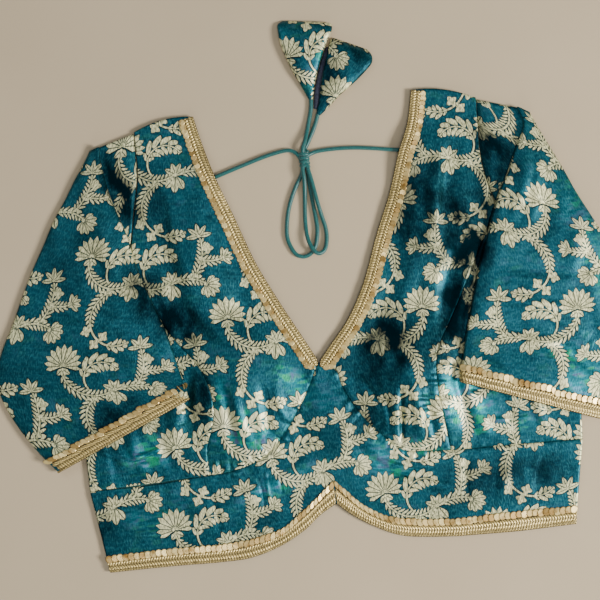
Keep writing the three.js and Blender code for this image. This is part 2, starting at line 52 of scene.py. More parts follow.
WALL = CLOTH - 0.2
FRONT_Z = 2.1
BACK_Z = 0.6
REST = 0.6
SEED = 7

Place = tuple[float, ...]
log = logging.getLogger("choli")


class Slot(Enum):
    """Material slots of the record."""

    BROCADE = "brocade"
    LACE = "gota_lace"
    CORD = "tie_cord"


# ---- lines ------------------------------------------------------------------


def hermite(p0: Vector, p1: Vector, p2: Vector, p3: Vector, t: float) -> Vector:
    """A point between two knots of a centripetal line.

    Args:
        p0: The knot before.
        p1: The knot at t 0.
        p2: The knot at t 1.
        p3: The knot after.
        t: From 0 to 1.

    Returns:
        The point.
    """
    d0, d1, d2 = (max((b - a).length, 1e-6) ** 0.5 for a, b in ((p0, p1), (p1, p2), (p2, p3)))
    m1 = ((p1 - p0) / d0 - (p2 - p0) / (d0 + d1) + (p2 - p1) / d1) * d1
    m2 = ((p2 - p1) / d1 - (p3 - p1) / (d1 + d2) + (p3 - p2) / d2) * d1
    t2, t3 = t * t, t * t * t
    return p1 * (2 * t3 - 3 * t2 + 1) + p2 * (3 * t2 - 2 * t3) + m1 * (t3 - 2 * t2 + t) + m2 * (t3 - t2)


def smooth_line(knots: Sequence[Vector], counts: Sequence[int]) -> list[Vector]:
    """Points along a smooth line through knots.

    Args:
        knots: The places it passes.
        counts: How many steps each stretch between two knots takes.

    Returns:
        The points, both ends included.
    """
    ends = [knots[0] * 2 - knots[1], *knots, knots[-1] * 2 - knots[-2]]
    points = [
        hermite(*ends[i : i + 4], step / count)
        for i, count in enumerate(counts)
        for step in range(count)
    ]
    return [*points, knots[-1].copy()]


class Seam:
    """A smooth line through a few places, read by the share of its length."""

    STEPS = 20
    LOOK = 0.004

    def __init__(self, *places: Place) -> None:
        """Args: places: the knots, x and y or x, y and z, in millimetres."""
        knots = [Vector((*p, 0.0)[:3]) for p in places]
        self._measure(smooth_line(knots, [self.STEPS] * (len(knots) - 1)))

    def _measure(self, points: list[Vector]) -> None:
        """Args: points: the line's points, which are kept with their lengths."""
        self.points = points
        self.lengths = [0.0]
        for a, b in zip(points, points[1:]):
            self.lengths.append(self.lengths[-1] + (b - a).length)

    @classmethod
    def joined(cls, *seams: "Seam") -> "Seam":
        """Several seams end to end.

        Args:
            seams: The seams in order.

        Returns:
            One seam.
        """
        return cls.through([p for seam in seams for p in seam.points])

    @classmethod
    def through(cls, points: list[Vector]) -> "Seam":
        """Args: points: a line's own points. Returns: the seam along them."""
        whole = cls.__new__(cls)
        whole._measure(points)
        return whole

    @property
    def length(self) -> float:
        """Returns: the whole length in millimetres."""
        return self.lengths[-1]

    def at(self, share: float) -> Vector:
        """Args: share: 0 to 1. Returns: the point that far along."""
        goal = min(max(share, 0.0), 1.0) * self.length
        low, high = 0, len(self.lengths) - 1
        while high - low > 1:
            mid = (low + high) // 2
            low, high = (mid, high) if self.lengths[mid] <= goal else (low, mid)
        span = self.lengths[high] - self.lengths[low]
        t = (goal - self.lengths[low]) / span if span > 1e-9 else 0.0
        return self.points[low].lerp(self.points[high], t)

    def direction(self, share: float) -> Vector:
        """Args: share: 0 to 1. Returns: the unit direction there."""
        return (self.at(share + self.LOOK) - self.at(share - self.LOOK)).normalized()


@dataclass(frozen=True)
class Stretch:
    """Part of a seam, from one share of its length to another."""

    seam: Seam
    start: float = 0.0
    end: float = 1.0

    def at(self, t: float) -> Vector:
        """Args: t: 0 to 1. Returns: the point."""
        return self.seam.at(self.start + (self.end - self.start) * t)


@dataclass(frozen=True)
class Strip:
    """Sections from one stretch to another, or with stands, rows from a head to a foot."""

    first: Stretch
    last: Stretch
    rows: float
    stands: bool = False

    def at(self, t: float, u: float) -> Vector:
        """Args: t: along the strip. u: across it. Returns: the point."""
        if self.stands:
            return self.first.at(u).lerp(self.last.at(u), t)
        return self.first.at(t).lerp(self.last.at(t), u)


class Half:
    """The seam lines of one half of the blouse."""

    def __init__(self, **lines: Sequence[Place]) -> None:
        """Args: lines: each seam's name and its places."""
        for name, places in lines.items():
            setattr(self, name, Seam(*places))


LEFT = Half(
    armhole=[(-133, 179), (-134, 142), (-140, 112), (-147, 78), (-151, 62)],
    scye=[(-151, 62), (-155, 47), (-175, 19), (-198, 0)],
    neck=[(-82, 187), (-78, 168), (-69, 135), (-56, 98), (-42, 58), (-26, 24), (-11, -5), (1, -28)],
    back_neck=[(-86, 186), (-86, 160), (-79, 135), (-66, 98), (-53, 58), (-38, 22), (-20, -18), (2.6, -52)],
    princess=[(-151, 62), (-123, 9), (-96, -31), (-90, -58), (-93, -76), (-99, -92), (-100, -117)],
    cup_band=[(-100, -117), (-78, -115), (-52, -106), (-35, -91), (-20, -71), (-7, -49), (0, -34)],
    outer_band=[(-202, -120), (-150, -120), (-100, -117)],
    side=[(-198, 0), (-202, -60), (-202, -120)],
    low_side=[(-202, -120), (-198, -146), (-192, -190)],
    hem_straight=[(-192, -190), (-140, -190), (-100, -191)],
    hem_scallop=[(-100, -191), (-73, -190), (-47, -183), (-24, -171), (-10, -160), (4, -152)],
    lace_straight=[(-194, -177), (-140, -176), (-97, -177)],
    lace_scallop=[(-97, -177), (-72, -175), (-44, -169), (-28, -158), (-12, -146), (4, -132)],
)
RIGHT = Half(
    armhole=[(158, 178), (157, 151), (157, 125), (162, 98), (167, 86)],
    scye=[(167, 86), (182, 46), (202, 12), (222, -8)],
    neck=[(104, 190), (98, 163), (88, 139), (77, 106), (62, 71), (46, 30), (30, 2), (14, -17), (4, -29)],
    back_neck=[
        (107, 189.5), (107, 163), (98, 137), (88, 103), (73, 68), (57, 27), (41, -3), (23, -30), (3.4, -52),
    ],
    princess=[(167, 86), (140, 35), (117, -7), (103, -31), (100, -62), (103, -91), (106, -117)],
    tip=[(4, -29), (17, -40)],
    cup_band=[(106, -117), (85, -115), (65, -112), (45, -93), (29, -72), (20, -54), (17, -40)],
    outer_band=[(218, -119), (160, -118), (106, -117)],
    side=[(222, -8), (221, -60), (218, -119)],
    low_side=[(218, -119), (213, -154), (205, -190)],
    hem_straight=[(205, -190), (160, -191), (106, -190)],
    hem_scallop=[(106, -190), (80, -188), (56, -184), (31, -172), (15, -161), (5, -152)],
    lace_straight=[(207, -176), (160, -175), (106, -176)],
    lace_scallop=[(106, -176), (74, -173), (49, -168), (29, -157), (13, -141), (5, -132)],
)
PEAK = Seam((0, -34), (4.6, -30.6), (17, -40.5))
NOTCH = Seam((4, -152), (5, -152))


# ---- the lie of the cloth -----------------------------------------------------


@dataclass(frozen=True)
class Patch:
    """A soft oval area, used for a mound of cloth and for patches of painted shade and painted sheen."""

    x: float
    y: float
    reach_x: float
    reach_y: float
    amount: float
    turn: float = 0.0

    def at(self, x: float, y: float) -> float:
        """Args: x, y: a place in millimetres. Returns: the amount there."""
        dx, dy = x - self.x, y - self.y
        if self.turn:
            c, s = math.cos(math.radians(self.turn)), math.sin(math.radians(self.turn))
            dx, dy = dx * c + dy * s, dy * c - dx * s
        r = (dx / self.reach_x) ** 2 + (dy / self.reach_y) ** 2
        return self.amount * (1 - r) ** 2 if r < 1 else 0.0


@dataclass(frozen=True)
class Fold:
    """A soft ridge, or with a negative height a trough, along a line that may bow sideways."""

    x0: float
    y0: float
    x1: float
    y1: float
    width: float
    height: float
    bow: float = 0.0

    def at(self, x: float, y: float) -> float:
        """Args: x, y: a place in millimetres. Returns: the height there."""
        dx, dy = self.x1 - self.x0, self.y1 - self.y0
        length = math.hypot(dx, dy)
        along = ((x - self.x0) * dx + (y - self.y0) * dy) / (length * length)
        if not 0 < along < 1:
            return 0.0
        across = ((y - self.y0) * dx - (x - self.x0) * dy) / length
        r = (across - self.bow * 4 * along * (1 - along)) / self.width
        if abs(r) >= 1:
            return 0.0
        return self.height * math.sin(math.pi * along) ** 0.8 * (1 - r * r) ** 2


@dataclass(frozen=True)
class Ripple:
    """Slow unevenness of a surface, and of the painted shade and sheen."""

    amount: float
    per_x: float
    per_y: float
    layer: float

    def at(self, x: float, y: float) -> float:
        """Args: x, y: a place in millimetres. Returns: the amount there."""
        return self.amount * noise.noise((x * self.per_x, y * self.per_y, self.layer))


FRONT_RIPPLES = (Ripple(0.9, 0.03, 0.022, 2.0), Ripple(0.35, 0.09, 0.07, 5.0))
SLEEVE_RIPPLES = (Ripple(0.8, 0.035, 0.03, 12.0), Ripple(0.3, 0.1, 0.09, 4.0))
BACK_RIPPLE = Ripple(0.12, 0.04, 0.03, 9.0)
# Slow random unevenness of the painted shade and sheen.
PAINTED_LIGHT_RIPPLE = Ripple(0.22, 0.025, 0.025, 21.0)
MOUNDS = (
    Patch(-66, -45, 58, 75, 11),
    Patch(84, -50, 54, 75, 11),
    Patch(-92, 66, 40, 92, 5),
    Patch(112, 72, 42, 92, 5),
    Patch(9, -80, 28, 45, 3),
    Patch(-85, -152, 76, 30, 2.5),
    Patch(100, -152, 84, 30, 2.5),
    Patch(-73, 133, 32, 32, 3.6),
    Patch(92, 140, 32, 32, 3.6),
)
FRONT_FOLDS = (
    Fold(-128, 150, -112, 20, 13, -2.2, 5),
    Fold(-112, 128, -100, 40, 9, 1.2, -3),
    Fold(-118, 44, -70, -22, 12, -2.6, -6),
    Fold(-86, 70, -60, -10, 14, 1.4, 4),
    Fold(-70, 30, -34, -24, 9, -1.4, 3),
    Fold(-84, -30, -78, -104, 7, -1.6, 4),
    Fold(-72, -42, -60, -102, 8, 1.6, -4),
    Fold(-50, -36, -48, -96, 7, -1.5, 3),
    Fold(-36, -40, -30, -80, 5, 1.1, -2),
    Fold(-104, -20, -112, -84, 7, -1.8, -3),
    Fold(-122, -30, -130, -100, 9, 1.5, 3),
    Fold(-148, -66, -130, -112, 6, -1.6, 2),
    Fold(-164, -70, -152, -112, 7, 1.7, -2),
    Fold(-186, -70, -178, -114, 6, -1.3, 2),
    Fold(138, 150, 124, 52, 12, -2.4, -4),
    Fold(118, 130, 104, 60, 9, 1.3, 3),
    Fold(134, 60, 112, -22, 12, -3.0, -5),
    Fold(96, 62, 78, -6, 13, 1.5, -4),
    Fold(74, 34, 50, -20, 9, -1.3, -3),
    Fold(69, -56, 65, -110, 3.2, -2.2, 0.6),
    Fold(63, -60, 60, -106, 5, 1.3, -1),
    Fold(78, -50, 80, -108, 6, 1.3, 2),
    Fold(36, -48, 60, -96, 7, -1.6, 5),
    Fold(30, -38, 54, -98, 4, 1.0, 9),
    Fold(92, -58, 95, -108, 5, -1.4, -2),
    Fold(112, -40, 122, -108, 7, -1.5, 3),
    Fold(124, -46, 140, -110, 9, 1.8, -3),
    Fold(150, -66, 162, -112, 6, -1.3, 2),
    Fold(180, -60, 190, -112, 7, 1.2, -2),
    Fold(80, -58, 110, -60, 3, 1.3, 1),
    Fold(78, -68, 112, -72, 2.6, -1.4, -1),
    Fold(82, -78, 110, -81, 3, 1.4, 1),
    Fold(84, -90, 108, -91, 2.4, -1.1, 0.6),
    Fold(-122, -64, -104, -58, 2.2, 0.9, 1),
    Fold(-124, -72, -103, -70, 2.2, -1.0, 1),
    Fold(-168, -96, -128, -84, 3.4, 1.6, -3),
    Fold(-176, -106, -136, -98, 3.0, -1.6, 3),
    Fold(-190, -86, -160, -100, 3.4, 1.3, -2),
    Fold(-190, -142, -140, -146, 2.0, 0.8, 1.5),
    Fold(-180, -150, -126, -156, 2.0, -0.8, -1.5),
    Fold(-176, -160, -128, -164, 2.2, 0.8, 1),
    Fold(-60, -122, -56, -150, 1.8, -1.0, 1),
    Fold(-52, -118, -50, -146, 1.8, 1.0, -1),
    Fold(-44, -112, -40, -140, 1.8, -0.9, 1),
    Fold(128, -56, 150, -60, 3, 1.2, 2),
    Fold(122, -66, 150, -78, 4, -1.4, 3),
    Fold(134, -92, 176, -96, 3, 1.2, -2),
    Fold(40, -116, 90, -134, 2.6, 1.2, -2),
    Fold(34, -124, 84, -142, 2.2, -1.1, 2),
    Fold(30, -100, 70, -132, 6, 1.3, -3),
    Fold(24, -112, 92, -142, 7, -1.2, 4),
    Fold(40, -138, 110, -150, 6, 1.0, 2),
    Fold(-12, -98, -70, -136, 7, -1.2, 3),
    Fold(-20, -120, -92, -146, 6, 1.0, -3),
    Fold(-190, -134, -110, -150, 7, -1.1, -3),
    Fold(-188, -150, -120, -166, 6, 1.1, 3),
    Fold(-104, -124, -96, -168, 5, -0.9, 2),
    Fold(150, -124, 140, -166, 7, 1.0, 3),
    Fold(186, -128, 176, -168, 7, -1.1, -2),
    Fold(120, -122, 116, -160, 5, -0.9, -2),
)
SLEEVE_FOLDS = (
    Fold(-160, 160, -142, 92, 6, -1.2, -3),
    Fold(-176, 150, -156, 60, 12, 1.2, -6),
    Fold(-196, 118, -150, 20, 16, -1.1, -9),
    Fold(-246, 40, -140, 6, 12, 0.9, 6),
    Fold(-250, 6, -130, -30, 9, -0.9, 5),
    Fold(-258, -30, -176, -66, 8, 0.8, -4),
    Fold(-224, 84, -236, -20, 14, -0.9, 5),
    Fold(-150, -6, -124, -42, 7, -1.0, 2),
    Fold(196, 140, 176, 70, 8, 1.3, 4),
    Fold(214, 128, 190, 40, 13, -1.3, 7),
    Fold(238, 84, 214, 10, 11, 1.2, 5),
    Fold(152, 40, 248, 24, 9, -1.0, -6),
    Fold(146, 6, 232, -14, 6, 1.1, 4),
    Fold(150, -14, 214, -28, 4, -1.0, -3),
    Fold(184, -4, 240, -46, 6, 1.2, 5),
    Fold(198, -24, 246, -70, 7, -1.4, -4),
    Fold(176, -30, 214, -78, 6, 1.1, 3),
    Fold(236, 40, 254, -60, 8, 1.3, -4),
    Fold(140, -30, 170, -70, 6, -0.9, 2),
    Fold(176, -34, 232, -40, 1.8, 1.1, 3),
    Fold(190, -48, 240, -36, 1.6, 0.7, -2),
    Fold(206, -20, 250, -50, 1.8, -0.8, 2),
    Fold(160, 20, 214, 4, 2.0, 0.7, -3),
    Fold(170, 100, 214, 76, 2.4, -0.8, 3),
    Fold(-238, 20, -178, 36, 2.0, 0.7, 3),
    Fold(-232, -20, -160, -8, 1.8, -0.6, -3),
    Fold(-246, -44, -196, -34, 2.0, 0.7, 2),
    Fold(-200, 100, -168, 60, 2.4, -0.7, 3),
)
# Painted light on the silk: patches above 0 paint sheen where the cloth catches the light, patches below 0
# paint shade in its valleys and hollows.
PAINTED_SHADE_AND_SHEEN = (
    Patch(-66, -88, 36, 24, 1.0, -20),
    Patch(-84, -58, 14, 36, 0.8),
    Patch(-60, -70, 20, 16, 0.5),
    Patch(-148, -94, 30, 22, 0.75, 20),
    Patch(-20, -46, 26, 14, 1.0, -50),
    Patch(-40, -130, 60, 12, 0.5, 20),
    Patch(-160, -150, 44, 14, 0.35, -10),
    Patch(126, -82, 30, 38, 1.05, 30),
    Patch(112, -60, 16, 24, 0.7),
    Patch(66, -110, 44, 14, 0.6, -10),
    Patch(50, -124, 50, 12, 0.6, -25),
    Patch(160, -100, 40, 12, 0.5),
    Patch(140, -148, 80, 34, -0.45, 0),
    Patch(226, -66, 30, 26, 0.7, -40),
    Patch(204, -42, 36, 10, 0.5, -15),
    Patch(236, 60, 22, 70, 0.35, 14),
    Patch(116, 26, 30, 12, 0.4, -20),
    Patch(104, 84, 44, 80, -0.75, -6),
    Patch(126, 30, 26, 50, -0.4, -10),
    Patch(-134, 34, 22, 60, -0.7, 28),
    Patch(-108, 12, 34, 24, -0.8, -30),
    Patch(-98, -52, 14, 34, -0.7, -8),
    Patch(-120, 110, 22, 60, -0.35, 6),
    Patch(-150, 132, 17, 50, -1.0, 18),
    Patch(-196, 60, 60, 90, -0.15, 20),
    Patch(-176, -60, 40, 20, -0.6, 20),
    Patch(-196, -150, 30, 40, -0.5),
    Patch(114, -14, 22, 52, -0.9, -10),
    Patch(142, 56, 28, 100, -0.8, -16),
    Patch(170, 130, 18, 40, -1.0, 30),
    Patch(54, -34, 56, 54, -0.6, 20),
    Patch(66, -16, 30, 40, -0.4, 30),
    Patch(36, -78, 26, 26, -0.45, 30),
    Patch(190, -140, 50, 26, -0.25),
    Patch(20, -100, 26, 36, -0.3),
    Patch(-30, -150, 60, 16, -0.3, 24),
)


@dataclass(frozen=True)
class SeamPull:
    """How a seam sinks into the cloth and puckers it."""

    seam: Seam
    depth: float
    pucker: float
    reach: float


def pleats(seam: Seam, start: float, end: float, count: int, reach: float, height: float) -> tuple[Fold, ...]:
    """Small gathers across a seam, uneven in length, depth and spacing.

    Args:
        seam: The seam that they run out from.
        start: The share of it where they begin.
        end: The share of it where they stop.
        count: How many.
        reach: The longest, in millimetres.
        height: The deepest, in millimetres.

    Returns:
        The folds.
    """
    dice = random.Random(SEED + count)
    made = []
    for i in range(count):
        share = start + (end - start) * (i + dice.uniform(0.2, 0.8)) / count
        foot, along = seam.at(share), seam.direction(share)
        out = Vector((-along.y, along.x)) * (1 if dice.random() < 0.72 else -0.6)
        tip = foot.xy + out * reach * dice.uniform(0.5, 1.0) + along.xy * dice.uniform(-1.5, 1.5)
        lift = height * dice.uniform(0.4, 1.0) * (-1 if i % 2 else 1)
        heel = foot.xy - out * 2.0
        made.append(Fold(*heel, *tip, dice.uniform(1.2, 2.2), lift, dice.uniform(-0.6, 0.6)))
    return tuple(made)


GATHERS = (
    *pleats(LEFT.cup_band, 0.04, 0.72, 26, 15.0, 0.9),
    *pleats(RIGHT.cup_band, 0.78, 0.02, 24, 14.0, 0.8),
    *pleats(RIGHT.princess, 0.95, 0.55, 9, 14.0, 0.9),
    *pleats(LEFT.princess, 0.95, 0.6, 8, 12.0, 0.8),
)


class Lie:
    """Height of the top cloth at any place, and the shade and sheen painted into its colour."""

    LOW = FRONT_Z - 0.1
    SOFTNESS = 0.5
    GROOVE = 1.5
    FOLDS = 1.35
    MARK_GAP = 0.8
    FRONT_RISE = 0.9
    SLEEVE_RISE = 0.6
    BACK_RISE = 0.15
    DARKEST, BRIGHTEST = -1.2, 1.2

    def __init__(self, pulls: Sequence[SeamPull]) -> None:
        """Args: pulls: the seams that mark the front."""
        self.marks: list[tuple[SeamPull, float]] = []
        for pull in pulls:
            count = int(pull.seam.length / self.MARK_GAP)
            self.marks += [(pull, i / count) for i in range(count + 1)]
        self.tree = kdtree.KDTree(len(self.marks))
        for i, (pull, share) in enumerate(self.marks):
            self.tree.insert(pull.seam.at(share).xy.to_3d(), i)
        self.tree.balance()

    def _seam_relief(self, x: float, y: float) -> float:
        """Args: x, y: a place. Returns: the groove and the puckers of the nearest seam."""
        _, index, gap = self.tree.find((x, y, 0.0))
        pull, share = self.marks[index]
        groove = -pull.depth * math.exp(-((gap / self.GROOVE) ** 2))
        if gap > 4 * pull.reach:
            return groove
        run = share * pull.seam.length
        fine = noise.noise((run * 0.22, pull.depth * 9, gap * 0.04))
        broad = noise.noise((run * 0.11, pull.depth * 31, gap * 0.02))
        return groove + pull.pucker * (fine * 1.2 + broad) * math.exp(-gap / pull.reach)

    @staticmethod
    def plain(x: float, y: float) -> float:
        """Args: x, y: a place. Returns: the height of the mounds alone."""
        return FRONT_Z + sum(mound.at(x, y) for mound in MOUNDS)

    def front(self, x: float, y: float) -> float:
        """Args: x, y: a place. Returns: the height of the middle of the front cloth."""
        ripple = sum(wave.at(x, y) for wave in FRONT_RIPPLES)
        z = self.plain(x, y) + self.FRONT_RISE + ripple + self._seam_relief(x, y)
        z += self.FOLDS * sum(fold.at(x, y) for fold in (*FRONT_FOLDS, *GATHERS))
        over = (z - self.LOW) / self.SOFTNESS
        return self.LOW + self.SOFTNESS * (over if over > 20 else math.log1p(math.exp(over)))

    @staticmethod
    def back(x: float, y: float) -> float:
        """Args: x, y: a place. Returns: the height of the middle of the back cloth."""
        return BACK_Z + Lie.BACK_RISE + BACK_RIPPLE.at(x, y)

    @staticmethod
    def sleeve(x: float, y: float) -> float:
        """Args: x, y: a place. Returns: what the creases add to the top of a sleeve."""
        ripple = sum(wave.at(x, y) for wave in SLEEVE_RIPPLES)
        return Lie.SLEEVE_RISE + ripple + Lie.FOLDS * sum(fold.at(x, y) for fold in SLEEVE_FOLDS)

    @staticmethod
    def painted_light(x: float, y: float) -> float:
        """Args: x, y: a place. Returns: the painted light, from painted shade, -1, to painted sheen, 1."""
        painted_light = PAINTED_LIGHT_RIPPLE.at(x, y) + sum(patch.at(x, y) for patch in PAINTED_SHADE_AND_SHEEN)
        return max(Lie.DARKEST, min(Lie.BRIGHTEST, painted_light))


PULLS = (
    SeamPull(LEFT.princess, 0.6, 0.6, 6.0),
    SeamPull(RIGHT.princess, 0.6, 0.6, 6.0),
    SeamPull(LEFT.cup_band, 1.3, 1.3, 6.0),
    SeamPull(RIGHT.cup_band, 1.3, 1.3, 6.0),
    SeamPull(LEFT.outer_band, 0.7, 0.8, 7.0),
    SeamPull(RIGHT.outer_band, 0.7, 0.8, 7.0),
    SeamPull(PEAK, 0.4, 0.1, 3.0),
    SeamPull(Seam.joined(LEFT.armhole, LEFT.scye), 0.3, 0.3, 6.0),
    SeamPull(Seam.joined(RIGHT.armhole, RIGHT.scye), 0.3, 0.3, 6.0),
    SeamPull(LEFT.neck, 0.0, 0.3, 9.0),
    SeamPull(RIGHT.neck, 0.0, 0.3, 9.0),
    SeamPull(Seam.joined(LEFT.hem_straight, LEFT.hem_scallop), 0.0, 0.25, 9.0),
    SeamPull(Seam.joined(RIGHT.hem_straight, RIGHT.hem_scallop), 0.0, 0.25, 9.0),
)


# ---- numbers worked out on a surface -----------------------------------------


class Field:
    """A number known at every point of a surface; arithmetic on it adds math nodes."""

    def __init__(self, tree: bpy.types.NodeTree, socket: bpy.types.NodeSocket) -> None:
        """Args: tree: the nodes' tree. socket: where the number comes out."""
        self.tree = tree
        self.socket = socket

    def _node(self, operation: str, *others: "Field | float", clamp: bool = False) -> "Field":
        """Args: operation: a math node's. others: its other inputs. clamp: to 0..1. Returns: the result."""
        node = self.tree.nodes.new("ShaderNodeMath")
        node.operation = operation
        node.use_clamp = clamp
        for place, value in enumerate((self, *others)):
            if isinstance(value, Field):
                self.tree.links.new(value.socket, node.inputs[place])
            else:
                node.inputs[place].default_value = float(value)
        return Field(self.tree, node.outputs[0])

    def __add__(self, other: "Field | float") -> "Field":
        return self._node("ADD", other)

    def __sub__(self, other: "Field | float") -> "Field":
        return self._node("SUBTRACT", other)

    def __mul__(self, other: "Field | float") -> "Field":
        return self._node("MULTIPLY", other)

    def __truediv__(self, other: "Field | float") -> "Field":
        return self._node("DIVIDE", other)

    def scaled(self, factor: "Field | float", addend: "Field | float") -> "Field":
        """Args: factor, addend: applied in that order. Returns: self * factor + addend."""
        return self._node("MULTIPLY_ADD", factor, addend)

    def share(self, factor: float, addend: float) -> "Field":
        """Args: factor, addend: applied in that order. Returns: the result held to 0..1."""
        return self._node("MULTIPLY_ADD", factor, addend, clamp=True)

    def least(self, other: "Field | float") -> "Field":
        """Args: other: a second number. Returns: the smaller."""
        return self._node("MINIMUM", other)

    def most(self, other: "Field | float") -> "Field":
        """Args: other: a second number. Returns: the larger."""
        return self._node("MAXIMUM", other)

    def size(self) -> "Field":
        """Returns: the number without its sign."""
        return self._node("ABSOLUTE")

    def root(self) -> "Field":
        """Returns: the square root."""
        return self._node("SQRT")

    def whole(self) -> "Field":
        """Returns: the nearest whole number."""
        return self._node("ROUND")

    def wrapped(self, half: float) -> "Field":
        """Args: half: half a period. Returns: the number brought within -half..half."""
        return self._node("WRAP", half, -half)

    def angle(self, x: "Field") -> "Field":
        """Args: x: the across part, with self as the up part. Returns: the angle in radians."""
        return self._node("ARCTAN2", x)


@dataclass(frozen=True)
class Motif:
    """One woven figure; its distance is above 0 inside it, in millimetres."""

    x: float
    y: float

    def distance(self, x: Field, y: Field) -> Field:
        """Args: x, y: from the figure's own middle. Returns: how far inside."""
        raise NotImplementedError

    @staticmethod
    def polar(x: Field, y: Field) -> tuple[Field, Field]:
        """Args: x, y: a place. Returns: its radius and its angle."""
        return (x * x + y * y).root(), y.angle(x)


@dataclass(frozen=True)
class Frond(Motif):
    """A stem on an arc with slanting leaflets on both sides."""

    radius: float
    start: float
    end: float
    leaf: float
    pitch: float
    stem: float = 0.65
    fat: float = 0.33
    slant: float = 0.9
    taper: float = 0.5
    gap: float = 0.4

    def distance(self, x: Field, y: Field) -> Field:
        """Args: x, y: from the arc's middle. Returns: how far inside."""
        r, a = self.polar(x, y)
        way = 1.0 if self.end > self.start else -1.0
        half = math.radians(abs(self.end - self.start) / 2) * self.radius
        middle = math.radians((self.start + self.end) / 2)
        along = a.scaled(1.0, -middle).wrapped(math.pi) * (self.radius * way)
        off = r.scaled(1.0, -self.radius).size()
        stem = off.scaled(-1.0, self.stem)
        inside = stem
        if self.leaf > 0:
            t = along * (1 / half)
            reach = (t * t).scaled(-self.taper * self.leaf, self.leaf)
            q = off / reach
            lens = (q * q.scaled(-1.0, 1.0)) * (4 * self.fat * self.pitch)
            leaves = lens - off.scaled(-self.slant, along).wrapped(self.pitch / 2).size()
            inside = leaves.least(off.scaled(1.0, -self.stem - self.gap)).most(stem)
        return inside.least(along.size().scaled(-1.0, half + 0.4))


@dataclass(frozen=True)
class Flower(Motif):
    """Petals turned about a middle."""

    aim: float
    petals: int
    step: float
    length: float
    width: float
    core: float = 1.2
    droop: float = 0.0
    round_tips: bool = True
    vein: float = 0.0

    def distance(self, x: Field, y: Field) -> Field:
        """Args: x, y: from the flower's middle. Returns: how far inside."""
        r, a = self.polar(x, y)
        b = a.scaled(1.0, -math.radians(self.aim)).wrapped(math.pi)
        step, last = math.radians(self.step), (self.petals - 1) / 2
        if self.petals % 2:
            k = (b * (1 / step)).whole()
        else:
            k = b.scaled(1 / step, -0.5).whole().scaled(1.0, 0.5)
        k = k.most(-last).least(last)
        across = k.scaled(-step, b).size() * r
        if self.droop:
            q = r / (k * k).scaled(-self.droop * self.length, self.length)
        else:
            q = r * (1 / self.length)
        body = q * q.scaled(-1.0, 1.0)
        shape = body * (4 * self.width) if self.round_tips else (body * q) * (6.75 * self.width)
        inside = shape - across
        if self.vein:
            inside = inside.least(across.scaled(1.0, -self.vein))
        return inside.most(r.scaled(-1.0, self.core))


@dataclass(frozen=True)
class Fan(Motif):
    """A half-open lotus seen from the side."""

    aim: float
    petals: int
    spread: float
    length: float
    vein: float = 0.34

    def distance(self, x: Field, y: Field) -> Field:
        """Args: x, y: from the foot of the lotus. Returns: how far inside."""
        r, a = self.polar(x, y)
        b = a.scaled(1.0, -math.radians(self.aim)).wrapped(math.pi)
        step = math.radians(self.spread) / self.petals
        off = (b * (1 / step)).whole().scaled(-step, b).size()
        edge = off.scaled(-0.24 * self.length / (step / 2), self.length)
        edge = edge * (b * b).scaled(-0.26 / math.radians(self.spread / 2) ** 2, 1.0)
        gap = (off.scaled(-1.0, step / 2) * r).scaled(1.0, -self.vein)
        heart = r.scaled(-1.0, 0.14 * self.length)
        petals = (edge - r).least(gap.most(heart))
        return petals.least(b.size().scaled(-1.0, math.radians(self.spread) / 2) * r)


class Creeper:
    """A flowering vine that repeats in half-drop columns."""

    WIDE = 90.0
    HIGH = 92.0
    MOTIFS: tuple[Motif, ...] = (
        Flower(0, 0, 92, 4, 42, 10.5, 2.3, vein=0.3),
        Flower(0, 0, 268, 3, 33, 15.5, 3.1, 1.6, 0.10, False, 0.34),
        Frond(-18, 20, 26, 204, 308, 6.2, 3.9),
        Fan(-42, 18, 97, 11, 222, 18.5),
        Flower(-42, 15.5, 280, 3, 50, 7.0, 2.3, vein=0.3),
        Frond(17, -23, 27, 116, 66, 5.8, 3.8),
        Flower(29, 0.5, -28, 7, 25, 13.5, 2.3, 1.6, 0.03, False, 0.28),
        Frond(-4, -29, 24, 120, 206, 5.8, 3.8),
        Frond(-4, -29, 24, 202, 264, 0.0, 3.5, 0.75),
        Frond(-4, -29, 24, 262, 306, 6.4, 4.8, 0.5, 0.42, 0.7, 0.8),
        Flower(-28.5, -43.5, -14, 4, 90, 4.9, 2.2, 0.8),
        Flower(-13.1, -46.1, 17, 4, 90, 4.9, 2.2, 0.8),
        Flower(-19.1, -53.1, 13, 4, 90, 4.9, 2.2, 0.8),
        Frond(-9, 9, 15.5, 224, 166, 0.0, 3.5, 0.7),
        Frond(-9, 9, 15.5, 172, 40, 9.0, 6.2, 0.5, 0.45, 0.8, 0.7),
        Frond(-8, 26, 33, -42, 22, 5.6, 3.8),
        Flower(21.5, 40.5, 105, 5, 44, 11.0, 1.9, vein=0.28),
        Flower(29.3, 30.7, -38, 4, 90, 4.9, 2.2, 0.8),
        Frond(30, 44, 24, 252, 300, 5.0, 3.8),
        Flower(42.5, 23.5, 32, 5, 34, 9.0, 1.9, vein=0.28),
    )

    def distance(self, x: Field, y: Field) -> Field:
        """Args: x, y: a place on the cloth in millimetres. Returns: how far inside a figure."""
        whole = None
        for motif in self.MOTIFS:
            across = x.scaled(1.0, -motif.x)
            column = (across * (1 / self.WIDE)).whole()
            up = (y.scaled(1.0, -motif.y) + column * (-self.HIGH / 2)).wrapped(self.HIGH / 2)
            found = motif.distance(across + column * (-self.WIDE), up)
            whole = found if whole is None else whole.most(found)
        return whole


# ---- finishes ------------------------------------------------------------------


def linear(red: float, green: float, blue: float) -> tuple[float, float, float, float]:
    """Args: red, green, blue: 0 to 255 as seen. Returns: the linear colour with its alpha."""
    return (*(((c / 255 + 0.055) / 1.055) ** 2.4 if c > 10 else c / 3295 for c in (red, green, blue)), 1.0)


